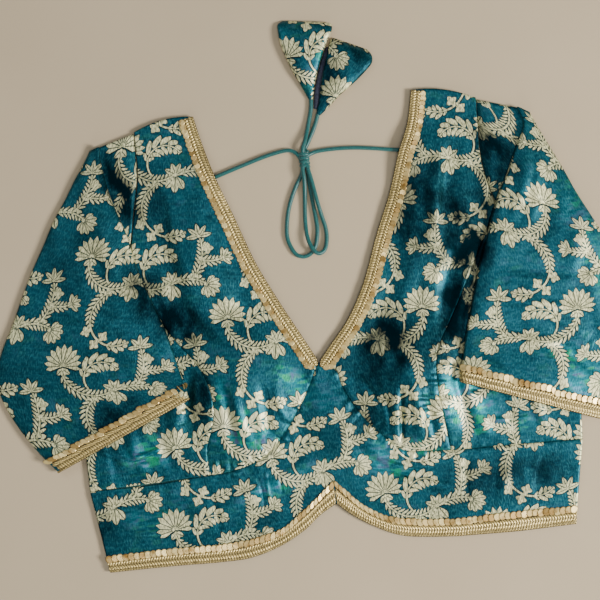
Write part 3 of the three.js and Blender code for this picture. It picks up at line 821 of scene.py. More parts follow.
class Recipe:
    """A material and helpers that add nodes to it."""

    def __init__(self, name: str) -> None:
        """Args: name: the material's name."""
        self.material = bpy.data.materials.new(name)
        self.material.use_nodes = True
        self.tree = self.material.node_tree
        self.shader = self.tree.nodes["Principled BSDF"]

    def field(self, socket: bpy.types.NodeSocket) -> Field:
        """Args: socket: any number's output. Returns: it as a field."""
        return Field(self.tree, socket)

    def put(self, name: str, value: "Field | bpy.types.NodeSocket | float | Sequence[float]") -> None:
        """Args: name: an input of the shader. value: what drives or sets it."""
        if isinstance(value, Field):
            value = value.socket
        if isinstance(value, bpy.types.NodeSocket):
            self.tree.links.new(value, self.shader.inputs[name])
        else:
            self.shader.inputs[name].default_value = value

    def mix(self, amount: "Field | float", first: object, second: object) -> bpy.types.NodeSocket:
        """Args: amount: of the second. first, second: colours or sockets. Returns: the colour."""
        node = self.tree.nodes.new("ShaderNodeMix")
        node.data_type = "RGBA"
        for place, value in ((0, amount), (6, first), (7, second)):
            if isinstance(value, Field):
                value = value.socket
            if isinstance(value, bpy.types.NodeSocket):
                self.tree.links.new(value, node.inputs[place])
            else:
                node.inputs[place].default_value = value
        return node.outputs[2]

    def place(self) -> bpy.types.NodeSocket:
        """Returns: the place on the object, in metres."""
        return self.tree.nodes.new("ShaderNodeTexCoord").outputs["Object"]

    def grain(
        self, where: bpy.types.NodeSocket, scale: float, stretch: Sequence[float], detail: float
    ) -> Field:
        """A noise over some coordinates.

        Args:
            where: The coordinates.
            scale: Lumps to a metre.
            stretch: A factor for each axis.
            detail: Octaves.

        Returns:
            The noise.
        """
        mapping = self.tree.nodes.new("ShaderNodeMapping")
        mapping.inputs["Scale"].default_value = stretch
        self.tree.links.new(where, mapping.inputs["Vector"])
        node = self.tree.nodes.new("ShaderNodeTexNoise")
        node.inputs["Scale"].default_value = scale
        node.inputs["Detail"].default_value = detail
        self.tree.links.new(mapping.outputs[0], node.inputs["Vector"])
        return self.field(node.outputs[0])

    def bump(self, height: Field, depth: float) -> None:
        """Args: height: 0 to 1. depth: in millimetres."""
        node = self.tree.nodes.new("ShaderNodeBump")
        node.inputs["Distance"].default_value = depth * MM
        self.tree.links.new(height.socket, node.inputs["Height"])
        self.put("Normal", node.outputs[0])


@dataclass(frozen=True)
class Brocade:
    """Shot silk with the creeper woven in gold thread, with shade and sheen painted into its colour."""

    # painted shade colour of the silk
    painted_shade_silk: Place = (6, 40, 58)
    silk: Place = (14, 74, 90)
    # painted sheen colour of the silk
    bright: Place = (14, 158, 170)
    turned: Place = (12, 90, 80)
    # painted shadow colour along the edges of the raised gold figures
    outline: Place = (4, 30, 36)
    gold: Place = (244, 240, 186)
    # painted sheen colour of the gold
    gold_painted_sheen: Place = (255, 252, 204)
    gold_dark: Place = (132, 138, 104)
    sheen_green: Place = (30, 160, 104)
    sheen_violet: Place = (96, 96, 140)
    warp_light: Place = (70, 150, 152)
    weft_light: Place = (60, 150, 160)
    thread_dark: Place = (4, 34, 46)
    shadow: Place = (2, 24, 31)
    roughness: float = 0.42
    # how far the painted shade darkens towards the shadow colour
    hollow_shade: float = 0.95

    def make(self) -> bpy.types.Material:
        """Returns: the material."""
        recipe = Recipe("brocade")
        tree = recipe.tree
        uv = tree.nodes.new("ShaderNodeUVMap")
        uv.uv_map = "weave"
        split = tree.nodes.new("ShaderNodeSeparateXYZ")
        tree.links.new(uv.outputs[0], split.inputs[0])
        x, y = (recipe.field(split.outputs[i]) * (1 / MM) for i in (0, 1))
        # The painted light attribute: painted shade below 0, painted sheen above 0, broken up by a cloud
        # noise.
        painted_light_node = tree.nodes.new("ShaderNodeAttribute")
        painted_light_node.attribute_name = "painted_light"
        where = recipe.place()
        cloud = recipe.grain(where, 80.0, (1.0, 0.6, 1.0), 3.0)
        given = recipe.field(painted_light_node.outputs["Fac"])
        painted_light = given + given.size().share(0.9, 0.12) * cloud.scaled(3.6, -1.8)

        inside = Creeper().distance(x, y)
        fill = inside.share(2.9, 0.5)
        rim = inside.share(1.35, 1.5) - fill

        thread = recipe.grain(uv.outputs[0], 900.0, (1.0, 0.35, 1.0), 1.0)
        streak = recipe.grain(where, 210.0, (0.35, 1.0, 1.0), 3.0)
        weft = recipe.grain(uv.outputs[0], 420.0, (0.3, 1.0, 1.0), 2.0)
        facing = tree.nodes.new("ShaderNodeLayerWeight")
        facing.inputs["Blend"].default_value = 0.32
        tilt = recipe.field(facing.outputs["Facing"])

        mottle = streak.share(5.0, -2.1)
        # Painted shade, then mottled painted sheen, on the silk.
        ground = recipe.mix(painted_light.share(-1.0, 0.0), linear(*self.silk), linear(*self.painted_shade_silk))
        ground = recipe.mix(painted_light.share(1.3, -0.1) * mottle.scaled(0.7, 0.3), ground, linear(*self.bright))
        ground = recipe.mix(tilt.share(0.9, 0.0), ground, linear(*self.turned))
        # Painted sheen: green and violet specks where the painted light is above 0.
        shimmer = given.share(1.5, 0.04) * streak.share(9.0, -4.3)
        hue = recipe.mix(cloud.share(9.0, -4.0), linear(*self.sheen_green), linear(*self.sheen_violet))
        ground = recipe.mix(shimmer * 0.85, ground, hue)
        ground = recipe.mix(thread.share(4.0, -1.9) * 0.28, ground, linear(*self.warp_light))
        ground = recipe.mix(weft.share(4.0, -2.1) * 0.22, ground, linear(*self.weft_light))
        ground = recipe.mix(weft.share(-4.0, 1.9) * 0.34, ground, linear(*self.thread_dark))
        ground = recipe.mix(thread.share(-4.0, 1.9) * 0.36, ground, linear(*self.thread_dark))
        # Painted shadow line round the gold figures.
        ground = recipe.mix(rim.share(1.0, 0.0), ground, linear(*self.outline))

        gold = recipe.mix(thread.share(3.2, -1.0), linear(*self.gold_dark), linear(*self.gold))
        # Painted sheen on the gold.
        gold = recipe.mix(painted_light.share(0.9, -0.05), gold, linear(*self.gold_painted_sheen))

        cloth = recipe.mix(fill, ground, gold)
        # Painted shade over everything: darkens towards the shadow colour where the painted light is below 0,
        # and lowers the specular there.
        shade = painted_light.share(-self.hollow_shade, 0.0)
        cloth = recipe.mix(shade, cloth, linear(*self.shadow))
        recipe.put("Base Color", cloth)
        recipe.put("Metallic", fill.scaled(-0.3, 0.65))
        recipe.put("Roughness", thread.scaled(0.25, self.roughness - 0.12))
        recipe.put("Specular IOR Level", shade.scaled(-0.25, 0.26))
        recipe.bump(thread, 0.18)
        return recipe.material


@dataclass(frozen=True)
class Plain:
    """One colour with a fine grain, or, for the braid and the sequins, two colours mixed by the painted light
    attribute.
    """

    name: str
    colour: Place
    second: Place
    roughness: float
    metallic: float = 0.0
    grain: float = 700.0
    relief: float = 0.1
    sheen: float = 0.0
    reads_painted_light: bool = False

    def make(self) -> bpy.types.Material:
        """Returns: the material."""
        recipe = Recipe(self.name)
        speck = recipe.grain(recipe.place(), self.grain, (1.0, 1.0, 1.0), 3.0)
        amount = speck.share(3.0, -1.0)
        # Painted shade and highlight: towards the second colour where the painted light attribute is high.
        if self.reads_painted_light:
            node = recipe.tree.nodes.new("ShaderNodeAttribute")
            node.attribute_name = "painted_light"
            amount = recipe.field(node.outputs["Fac"]).share(1.0, -0.12) * speck.share(4.0, -1.1)
        recipe.put("Base Color", recipe.mix(amount, linear(*self.colour), linear(*self.second)))
        recipe.put("Roughness", self.roughness)
        recipe.put("Metallic", self.metallic)
        recipe.put("Sheen Weight", self.sheen)
        recipe.bump(speck, self.relief)
        return recipe.material


LINING = Plain("lining", (40, 96, 98), (58, 120, 118), 0.75)
# Braid: dark painted shade in the dips of the weave, painted highlight on the raised strands.
BRAID = Plain("braid", (34, 22, 6), (255, 226, 146), 0.34, 0.5, 1100.0, 0.16, 0.0, True)
# Sequins: each disc's painted glint, from dark gold to pale.
SEQUIN = Plain("sequin", (146, 110, 48), (248, 222, 150), 0.3, 0.5, 160.0, 0.0, 0.0, True)
SATIN = Plain("satin", (0, 70, 70), (2, 100, 96), 0.4, 0.0, 900.0, 0.05, 0.3)
DARK_LINING = Plain("dark_lining", (22, 26, 44), (46, 50, 70), 0.8)
TABLE = Plain("table", (192, 174, 144), (196, 178, 148), 0.9, 0.0, 8.0, 0.0)


# ---- meshes --------------------------------------------------------------------


def net(columns: int, rows: int, place: Callable[[int, int], Vector]) -> bmesh.types.BMesh:
    """A net of faces, columns to the right and rows upward.

    Args:
        columns: Faces across.
        rows: Faces up.
        place: Gives each corner's place from its column and row, in millimetres.

    Returns:
        The mesh, in metres, with each corner's column and row kept in two layers.
    """
    mesh = bmesh.new()
    bmesh.ops.create_grid(mesh, x_segments=columns, y_segments=rows, size=0.5)
    column_layer = mesh.verts.layers.int.new("column")
    row_layer = mesh.verts.layers.int.new("row")
    for vert in mesh.verts:
        column = round((vert.co.x + 0.5) * columns)
        row = round((vert.co.y + 0.5) * rows)
        vert[column_layer] = column
        vert[row_layer] = row
        vert.co = place(column, row) * MM
    return mesh


def loft(rings: Sequence[Sequence[Vector]]) -> bmesh.types.BMesh:
    """A closed body through rings of points.

    Args:
        rings: The same number of places in each, in millimetres.

    Returns:
        The mesh, in metres.
    """
    mesh = bmesh.new()
    sides = len(rings[0])
    made = bmesh.ops.create_circle(mesh, cap_ends=False, segments=sides, radius=1.0)
    edges = list(mesh.edges)
    verts = list(made["verts"])
    order = {vert: i for i, vert in enumerate(verts)}
    for vert in verts:
        vert.co = rings[0][order[vert]] * MM
    first = list(edges)
    for ring in rings[1:]:
        grown = bmesh.ops.extrude_edge_only(mesh, edges=edges)["geom"]
        edges = [g for g in grown if isinstance(g, bmesh.types.BMEdge) and g not in edges]
        fresh = [g for g in grown if isinstance(g, bmesh.types.BMVert)]
        edges = [e for e in edges if all(v in set(fresh) for v in e.verts)]
        following = {}
        for vert in fresh:
            source = next(e.other_vert(vert) for e in vert.link_edges if e.other_vert(vert) in order)
            following[vert] = order[source]
        for vert, i in following.items():
            vert.co = ring[i] * MM
        order = following
    for loop in (first, edges):
        bmesh.ops.contextual_create(mesh, geom=loop)
    bmesh.ops.recalc_face_normals(mesh, faces=mesh.faces)
    return mesh


def finish_piece(
    name: str,
    mesh: bmesh.types.BMesh,
    materials: Sequence[bpy.types.Material],
    slot: Slot,
    nodes: Sequence[str],
) -> bpy.types.Object:
    """Turns a mesh into a piece that rides on the body.

    Args:
        name: The piece's name.
        mesh: Its mesh, which is freed.
        materials: Its materials.
        slot: The record's slot; not used.
        nodes: The CAD nodes it stands for.

    Returns:
        The piece.
    """
    data = bpy.data.meshes.new(name)
    mesh.to_mesh(data)
    mesh.free()
    data.shade_smooth()
    for material in materials:
        data.materials.append(material)
    piece = bpy.data.objects.new(name, data)
    bpy.context.scene.collection.objects.link(piece)
    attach(piece, "root")
    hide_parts(*nodes)
    log.info("built %s: %d faces", name, len(data.polygons))
    return piece


def thicken(piece: bpy.types.Object, thickness: float, inner: int = 0) -> None:
    """Gives a net its wall.

    Args:
        piece: The piece.
        thickness: In millimetres, half to each side.
        inner: How much the back faces' material slot is moved on.
    """
    wall = piece.modifiers.new("wall", "SOLIDIFY")
    wall.thickness = thickness * MM
    wall.offset = 0.0
    wall.material_offset = inner


@dataclass(frozen=True)
class Layout:
    """How the weave lies on a piece."""

    turn: float
    right: float
    up: float
    mirror: bool = False

    def place(self, x: float, y: float) -> tuple[float, float]:
        """Args: x, y: on the piece, in millimetres. Returns: the place on the cloth in metres."""
        c, s = math.cos(math.radians(self.turn)), math.sin(math.radians(self.turn))
        u, v = x * c + y * s, y * c - x * s
        return (-u if self.mirror else u) * MM + self.right * MM, v * MM + self.up * MM


def dress_cloth(
    mesh: bmesh.types.BMesh, layout: Layout, flat: Callable[[int, int], tuple[float, float]] | None = None
) -> None:
    """Writes the weave's map and the painted shade and sheen onto a net.

    Args:
        mesh: The net.
        layout: How the weave lies.
        flat: Gives a corner's place on the flat cloth; left out, the net itself is flat enough.
    """
    weave = mesh.loops.layers.uv.new("weave")
    painted_light = mesh.verts.layers.float.new("painted_light")
    columns = mesh.verts.layers.int["column"]
    rows = mesh.verts.layers.int["row"]
    for vert in mesh.verts:
        x, y = vert.co.x / MM, vert.co.y / MM
        vert[painted_light] = Lie.painted_light(x, y)
        spot = layout.place(*(flat(vert[columns], vert[rows]) if flat else (x, y)))
        for loop in vert.link_loops:
            loop[weave].uv = spot


# ---- panels ----------------------------------------------------------------------


@dataclass(frozen=True)
class Panel:
    """One flat-laid panel of cloth between its seams."""

    name: str
    node: str
    strips: tuple[Strip, ...]
    width: float
    layout: Layout
    step: float = 1.25
    across: bool = False
    under: bool = False
    bow: float = 0.0

    def _surface(self, down: float, over: float) -> Vector:
        """Args: down: along the strips. over: across them. Returns: the place, level."""
        total = sum(strip.rows for strip in self.strips)
        row = min(down, 1.0) * total
        for order, strip in enumerate(self.strips):
            if row <= strip.rows + 1e-6 or order == len(self.strips) - 1:
                t = min(row / strip.rows, 1.0)
                point = strip.at(t, over)
                if order == 0:
                    point.y += self.bow * (1 - t) * 4 * over * (1 - over)
                return point
            row -= strip.rows
        raise ValueError(self.name)

    def build(self, lie: Lie, finishes: dict[str, bpy.types.Material]) -> bpy.types.Object:
        """Args: lie: the height of the cloth. finishes: the materials. Returns: the piece."""
        long_side = sum((strip.at(1, 0.5) - strip.at(0, 0.5)).length for strip in self.strips)
        columns, rows = (long_side, self.width) if self.across else (self.width, long_side)
        columns, rows = max(4, round(columns / self.step)), max(4, round(rows / self.step))
        height = lie.back if self.under else lie.front

        def place(column: int, row: int) -> Vector:
            right, down = column / columns, 1 - row / rows
            point = self._surface(right, down) if self.across else self._surface(down, right)
            point.z = height(point.x, point.y)
            return point

        mesh = net(columns, rows, place)
        dress_cloth(mesh, self.layout)
        pair = [finishes["brocade"], finishes["lining"]]
        if self.under:
            pair.reverse()
        piece = finish_piece(self.name, mesh, pair, Slot.BROCADE, [self.node])
        thicken(piece, WALL, 1)
        return piece


L, R = LEFT, RIGHT
PANELS = (
    Panel(
        "left_cup_cloth",
        "front_left_cup",
        (
            Strip(Stretch(L.armhole), Stretch(L.neck, 0, 0.55), 7),
            Strip(Stretch(L.princess, 0, 6 / 14), Stretch(L.neck, 0.55, 1), 6),
            Strip(Stretch(L.princess, 6 / 14, 0.995), Stretch(L.cup_band, 1, 0.01), 7.5),
        ),
        80,
        Layout(-8, 30, 14),
        bow=4,
    ),
    Panel(
        "right_cup_cloth",
        "front_right_cup",
        (
            Strip(Stretch(R.neck, 0, 0.5), Stretch(R.armhole), 6),
            Strip(Stretch(R.neck, 0.5, 1), Stretch(R.princess, 0, 7 / 16), 7),
            Strip(Stretch(R.tip), Stretch(R.princess, 7 / 16, 8 / 16), 1),
            Strip(Stretch(R.cup_band, 1, 0.01), Stretch(R.princess, 8 / 16, 0.995), 7.5),
        ),
        80,
        Layout(6, 52, 22, True),
        bow=4,
    ),
    Panel(
        "left_side_cloth",
        "front_left_side",
        (
            Strip(Stretch(L.scye, 0.02, 1), Stretch(L.princess, 0.01, 5 / 14), 4),
            Strip(Stretch(L.side), Stretch(L.princess, 5 / 14, 1), 9),
        ),
        90,
        Layout(10, 8, 40),
    ),
    Panel(
        "right_side_cloth",
        "front_right_side",
        (
            Strip(Stretch(R.princess, 0.01, 6 / 16), Stretch(R.scye, 0.02, 1), 5),
            Strip(Stretch(R.princess, 6 / 16, 1), Stretch(R.side), 10),
        ),
        90,
        Layout(-10, 20, 4, True),
    ),
    Panel(
        "midriff_cloth",
        "front_midriff",
        (
            Strip(Stretch(L.outer_band), Stretch(L.hem_straight), 5),
            Strip(Stretch(L.cup_band), Stretch(L.hem_scallop), 8),
            Strip(Stretch(PEAK), Stretch(NOTCH), 1),
            Strip(Stretch(R.cup_band, 1, 0), Stretch(R.hem_scallop, 1, 0), 8),
            Strip(Stretch(R.outer_band, 1, 0), Stretch(R.hem_straight, 1, 0), 5),
        ),
        80,
        Layout(4, 12, 30),
        across=True,
    ),
    Panel(
        "left_back_cloth",
        "back_left",
        (
            Strip(Stretch(L.armhole), Stretch(L.back_neck, 0, 0.5), 5),
            Strip(Stretch(L.scye), Stretch(L.back_neck, 0.5, 1), 5),
            Strip(Stretch(L.side), Stretch(Seam((2.6, -52), (2.6, -120))), 4),
            Strip(
                Stretch(Seam((-202, -120), (2.6, -120))),
                Stretch(Seam.joined(L.hem_straight, L.hem_scallop)),
                3,
                True,
            ),
        ),
        150,
        Layout(4, 30, 8),
        step=4,
        under=True,
        bow=4,
    ),
    Panel(
        "right_back_cloth",
        "back_right",
        (
            Strip(Stretch(R.back_neck, 0, 0.5), Stretch(R.armhole), 6),
            Strip(Stretch(R.back_neck, 0.5, 1), Stretch(R.scye), 5),
            Strip(Stretch(Seam((3.4, -52), (3.4, -119))), Stretch(R.side), 4),
            Strip(
                Stretch(Seam((3.4, -119), (218, -119))),
                Stretch(Seam.joined(R.hem_straight, R.hem_scallop), 1, 0),
                3,
                True,
            ),
        ),
        150,
        Layout(-4, 12, 30, True),
        step=4,
        under=True,
        bow=4,
    ),
)


# ---- sleeves -----------------------------------------------------------------------


@dataclass(frozen=True)
class Section:
    """One section across a sleeve: where it starts, its two fold edges and its heights."""

    arm: float | None
    edge: Place
    out: Place
    pleat: float
    rise: float
    lift: float = 0.0
    seam: float = 0.0


@dataclass(frozen=True)
class Sleeve:
    """A sleeve wrapped from the front armhole over the arm to the back armhole."""

    name: str
    node: str
    half: Half
    side: float
    sections: tuple[Section, ...]
    layout: Layout
    puff: float = 3.0
    outer_rise: float = 3.6
    slope: float = 8.0
    gap: float = 0.8
    counts: tuple[int, ...] = (2, 2, 2, 2, 3, 3, 3, 3, 3, 10, 10, 10, 10, 10, 6, 3, 3, 3, 4, 4, 4, 4, 4)
    row_steps: int = 7

    def _flank(self) -> list[Vector]:
        """Returns: the outline of the body on this side."""
        h = self.half
        return [s.at(i / 8) for s in (h.armhole, h.scye, h.side, h.low_side) for i in range(9)]

    def _on_body(self, flank: Sequence[Vector], p: Vector) -> float:
        """Args: flank: the outline. p: a place. Returns: the top of the front cloth, fading outside it."""
        nearest, inside = math.inf, 0.0
        for a, b in zip(flank, flank[1:]):
            d = (b - a).xy
            if d.length < 0.5:
                continue
            t = min(max((p - a).xy.dot(d) / d.length_squared, 0), 1)
            gap = ((p - a).xy - d * t).length
            if gap < nearest:
                nearest = gap
                turn = d.x * (p.y - a.y) - d.y * (p.x - a.x)
                inside = math.copysign(gap, turn) * self.side
        low, high = -self.slope - 2, -2.5
        t = min(max((inside - low) / (high - low), 0), 1)
        return t * t * (3 - 2 * t) * (Lie.plain(p.x, p.y) + CLOTH / 2)

    def _section(self, row: Section, armhole: Seam, flank: Sequence[Vector]) -> list[Vector]:
        """Args: row: the section. armhole: the seam. flank: the outline. Returns: its 24 places."""
        tube = row.arm is None
        edge, out = Vector((*row.edge, 0)), Vector((*row.out, 0))
        outward = (out - edge).normalized()
        if tube:
            start = edge.lerp(out, (row.seam - edge.x) / (out.x - edge.x))
        else:
            start = armhole.at(row.arm) + outward * self.gap
        reach = max((start - edge).dot(outward), 0)

        def under(p: Vector) -> float:
            body = self._on_body(flank, p)
            return body + CLOTH / 2 + min(body, 1) * (REST + 0.2) + row.lift

        def middle(p: Vector) -> float:
            if tube:
                return under(p)
            return max(self._on_body(flank, p), FRONT_Z + CLOTH / 2) + CLOTH / 2 + REST + 0.3

        def at(p: Vector, z: float) -> Vector:
            return Vector((p.x, p.y, z))

        def on_rim(rim: Vector, inward: Vector, radius: float, foot: float, turn: float) -> Vector:
            flat = rim + inward * radius * (1 - math.sin(turn))
            return at(flat, foot + radius * (1 - math.cos(turn)))

        layer = CLOTH + REST
        if tube:
            dip = start - outward * self.slope * 0.65
        else:
            dip = (start if reach > 0 else edge) + outward * row.pleat
        before = dip + outward * (2.6 if tube else -layer / 2)
        after = dip - outward * (2.8 if tube else layer / 2)
        lead = start.lerp(before, 0.5)

        def floor_of_dip(p: Vector) -> float:
            return under(p) if tube else middle(p) - layer

        points = [
            at(start, under(start) if tube else Lie.plain(start.x, start.y) + 0.4),
            at(lead, floor_of_dip(lead)),
            at(before, floor_of_dip(before)),
            at(dip, under(dip) if tube else middle(dip) - layer / 2),
            at(after, middle(after)),
        ]
        fold = row.rise / 2
        inner = edge + outward * fold
        halfway = after.lerp(inner, 0.5)
        points.append(at(halfway, middle(halfway)))
        inner_z = middle(inner)
        turns = [i / 3 * math.pi for i in range(4)]
        for turn in turns:
            points.append(on_rim(edge, outward, fold, inner_z, turn))

        low_z = under(out) if tube else BACK_Z
        top_rise = min(self.outer_rise, row.rise + 1)
        radius = top_rise / 2
        last = out - outward * radius
        reach_t = min(max(((out - edge).length - 10) / 50, 0), 1)
        puff = self.puff * reach_t * reach_t * (3 - 2 * reach_t)
        for i in range(1, 6):
            u = i / 6
            z = (inner_z + row.rise) * (1 - u) + (low_z + top_rise) * u
            p = inner.lerp(last, u)
            clear = under(p) + layer + REST if tube else 0
            points.append(at(p, max(z + puff * math.sin(math.pi * u), clear)))
        for turn in reversed(turns):
            points.append(on_rim(out, -outward, radius, low_z, turn))
        end = start + outward * (0.45 if tube else 0)
        for i in range(1, 6):
            p = last.lerp(end, i / 5)
            points.append(at(p, under(p) if tube else BACK_Z + 0.1))
        return points

    def surface(self) -> list[list[Vector]]:
        """Returns: rows of places from the head to the cuff, from the front armhole round to the back."""
        armhole = Seam.joined(self.half.armhole, self.half.scye)
        flank = self._flank()
        coarse = [smooth_line(self._section(row, armhole, flank), self.counts) for row in self.sections]
        steps = [self.row_steps] * (len(coarse) - 1)
        columns = [smooth_line([row[c] for row in coarse], steps) for c in range(len(coarse[0]))]
        rows = [list(row) for row in zip(*columns)]
        first = sum(self.counts[:7])
        final = sum(self.counts[:17])
        for row in rows:
            for c in range(first, final):
                t = (c - first) / (final - first)
                row[c].z += Lie.sleeve(row[c].x, row[c].y) * min(1, 6 * t, 6 * (1 - t))
            for point in row:
                point.z = max(point.z, BACK_Z)
        return rows

    def build(self, finishes: dict[str, bpy.types.Material]) -> bpy.types.Object:
        """Args: finishes: the materials. Returns: the piece."""
        rows = self.surface()
        if self.side < 0:
            rows = [list(reversed(row)) for row in rows]
        columns = len(rows[0]) - 1
        middle = columns - sum(self.counts[:12]) if self.side < 0 else sum(self.counts[:12])
        heights = [0.0]
        for a, b in zip(rows, rows[1:]):
            heights.append(heights[-1] - (b[middle] - a[middle]).length)
        spans = []
        for row in rows:
            run = [0.0]
            for a, b in zip(row, row[1:]):
                run.append(run[-1] + (b - a).length)
            spans.append([value - run[middle] for value in run])
        last = len(rows) - 1

        def place(column: int, row: int) -> Vector:
            return rows[last - row][columns - column]

        def flat(column: int, row: int) -> tuple[float, float]:
            return -spans[last - row][columns - column], heights[last - row]

        mesh = net(columns, last, place)
        dress_cloth(mesh, self.layout, flat)
        piece = finish_piece(
            self.name, mesh, [finishes["brocade"], finishes["lining"]], Slot.BROCADE, [self.node]
        )
        thicken(piece, WALL, 1)
        return piece


LEFT_SLEEVE = Sleeve(
    "left_sleeve_cloth",
    "sleeve_left",
    LEFT,
    1.0,
    (
        Section(0.005, (-164, 169.5), (-172, 167), 3, 1.9),
        Section(0.085, (-164, 157), (-178, 157), 3, 2.4),
        Section(0.165, (-162, 143), (-187, 144), 3, 3),
        Section(0.245, (-159, 127), (-197, 128), 3, 3.6),
        Section(0.335, (-153, 107), (-208, 112), 3, 4),
        Section(0.42, (-148, 91), (-219, 92), 3, 4),
        Section(0.525, (-145, 74), (-231, 71), 3, 4),
        Section(0.62, (-140, 55), (-242, 49), 3, 4),
        Section(0.73, (-133, 34), (-253, 26), 2.5, 4),
        Section(0.87, (-126, 15), (-264, 5), 2, 4),
        Section(1, (-121, -4), (-271, -16), 1.5, 4),
        Section(None, (-117, -22), (-267, -37), 0, 4, 0, -207.5),
        Section(None, (-114, -35), (-256, -60), 0, 4, 1, -209),
        Section(None, (-111.5, -44), (-240, -84), 0, 4, 2.4, -210),
        Section(None, (-110, -51), (-226, -101), 0, 4, 2.4, -210),
    ),
    Layout(-16, 14, 60),
)
RIGHT_SLEEVE = Sleeve(
    "right_sleeve_cloth",
    "sleeve_right",
    RIGHT,
    -1.0,
    (
        Section(0.005, (192, 166.5), (202, 161), 2.5, 1.9),
        Section(0.08, (196, 151), (208, 147), 4, 2.4),
        Section(0.16, (190, 137), (216, 130), 8, 3.4),
        Section(0.24, (183, 123), (225, 111), 10, 4),
        Section(0.33, (176, 108), (234, 90), 10, 4.5),
        Section(0.42, (168, 94), (243, 72), 7, 5),
        Section(0.51, (161, 77), (252, 54), 3, 5),
        Section(0.62, (155, 60), (261, 34), 3, 5),
        Section(0.74, (147, 39), (268, 15), 2.5, 5),
        Section(0.87, (140, 17), (271.5, -2), 2, 5),
        Section(1, (134, -3), (270, -20), 1.5, 5),
        Section(None, (129, -20), (264, -40), 0, 5, 0, 229.5),
        Section(None, (125, -36), (255, -62), 0, 5, 1, 229),
        Section(None, (122, -48), (245, -83), 0, 5, 2.4, 216),
        Section(None, (120, -60), (233, -103), 0, 5, 2.4, 205),
    ),
    Layout(14, 26, 52, True),
)


# ---- lace ---------------------------------------------------------------------------


@dataclass(frozen=True)
class Lace:
    """A band of gold braid with a row of sequins along its inner edge."""

    name: str
    node: str
    outer: list[Vector]
    inner: list[Vector]
    sequin: float
    spacing: float
    braid_to: float = 0.68
    step: float = 0.5
    across: int = 18
    turned: float | None = None
    LOWEST = 0.3
    WALL = 0.35
    EDGE = 0.14
    EDGE_HIGH = 1.1
    BRAID_HIGH = 1.3
    SEQUIN_SIDES = 14
    SEQUIN_DEPTH = 0.25
    SEQUIN_TAPER = 0.86
    SEQUIN_ACROSS = 0.87
    SEQUIN_UP = 0.85

    def _profile(self, w: float, run: float) -> float:
        """The height of the braid.

        Args:
            w: Across it, from 0 at the outer edge to 1 at the inner.
            run: Along it, in millimetres.

        Returns:
            The height in millimetres.
        """
        if w < self.EDGE:
            twist = 0.65 + 0.35 * math.sin(run * 2.6 + w * 40)
            return self.EDGE_HIGH * math.sin(math.pi * w / self.EDGE) * twist
        if w < self.braid_to:
            row = (w - self.EDGE) / (self.braid_to - self.EDGE) * 2
            way = 1 if row < 1 else -1
            bulge = math.sin(math.pi * (row % 1.0)) ** 0.6
            strand = math.sin(run * 1.35 + way * (row % 1.0) * 2.6) ** 2
            return self.BRAID_HIGH * bulge * (0.25 + 0.75 * strand)
        return 0.0

    def build(self, finishes: dict[str, bpy.types.Material]) -> bpy.types.Object:
        """Args: finishes: the materials. Returns: the piece."""
        dice = random.Random(self.name)
        outer, inner = Seam.through(self.outer), Seam.through(self.inner)
        length = (outer.length + inner.length) / 2
        columns = round(length / self.step)

        def frame_at(t: float) -> tuple[Vector, Vector, Vector, Vector]:
            a, b = outer.at(t), inner.at(t)
            along = (inner.direction(t) + outer.direction(t)).normalized()
            over = b - a
            up = along.cross(over).normalized()
            return a, over, along, up

        sign = self.turned or math.copysign(1.0, frame_at(0.5)[3].z)

        def place(column: int, row: int) -> Vector:
            t, w = column / columns, row / self.across
            a, over, _, up = frame_at(t)
            return a + over * w + up * sign * self._profile(w, t * length)

        mesh = net(columns, self.across, place)
        # painted light of the braid is its own height, so the raised strands get painted highlight and the
        # dips painted shade
        painted_light = mesh.verts.layers.float.new("painted_light")
        column_layer, row_layer = (mesh.verts.layers.int[n] for n in ("column", "row"))
        for vert in mesh.verts:
            run = vert[column_layer] / columns * length
            vert[painted_light] = self._profile(vert[row_layer] / self.across, run)
        if sign < 0:
            bmesh.ops.reverse_faces(mesh, faces=mesh.faces)
        count = round(length / self.spacing)
        for i in range(count):
            t = (i + 0.5) / count
            a, over, along, up = frame_at(t)
            up = up * sign
            radius = self.sequin * dice.uniform(0.93, 1.05)
            disc = bmesh.ops.create_cone(
                mesh,
                cap_ends=True,
                segments=self.SEQUIN_SIDES,
                radius1=radius,
                radius2=radius * self.SEQUIN_TAPER,
                depth=self.SEQUIN_DEPTH,
            )["verts"]
            side = over.normalized()
            turn = Matrix((along, side, up)).transposed()
            if turn.determinant() < 0:
                turn = Matrix((-along, side, up)).transposed()
            lean = Matrix.Rotation(math.radians(dice.uniform(7, 12)), 3, "Y")
            lean = lean @ Matrix.Rotation(math.radians(dice.uniform(-10, 6)), 3, "X")
            middle = a + over * (self.SEQUIN_ACROSS + dice.uniform(-0.02, 0.02)) + up * self.SEQUIN_UP
            for vert in disc:
                vert.co = (middle + turn @ lean @ vert.co) * MM
            for face in {f for vert in disc for f in vert.link_faces}:
                face.material_index = 1
            # painted glint: a random brightness for each sequin
            shine = dice.uniform(0.3, 1.2)
            for vert in disc:
                vert[painted_light] = shine
        for vert in mesh.verts:
            vert.co.z = max(vert.co.z, self.LOWEST * MM)
        piece = finish_piece(self.name, mesh, [finishes["braid"], finishes["sequin"]], Slot.LACE, [self.node])
        for polygon in piece.data.polygons:
            polygon.use_smooth = polygon.material_index == 0
        thicken(piece, self.WALL)
        return piece


# ---- tie -----------------------------------------------------------------------------

FLAT = 1.9
OVER = 5.8


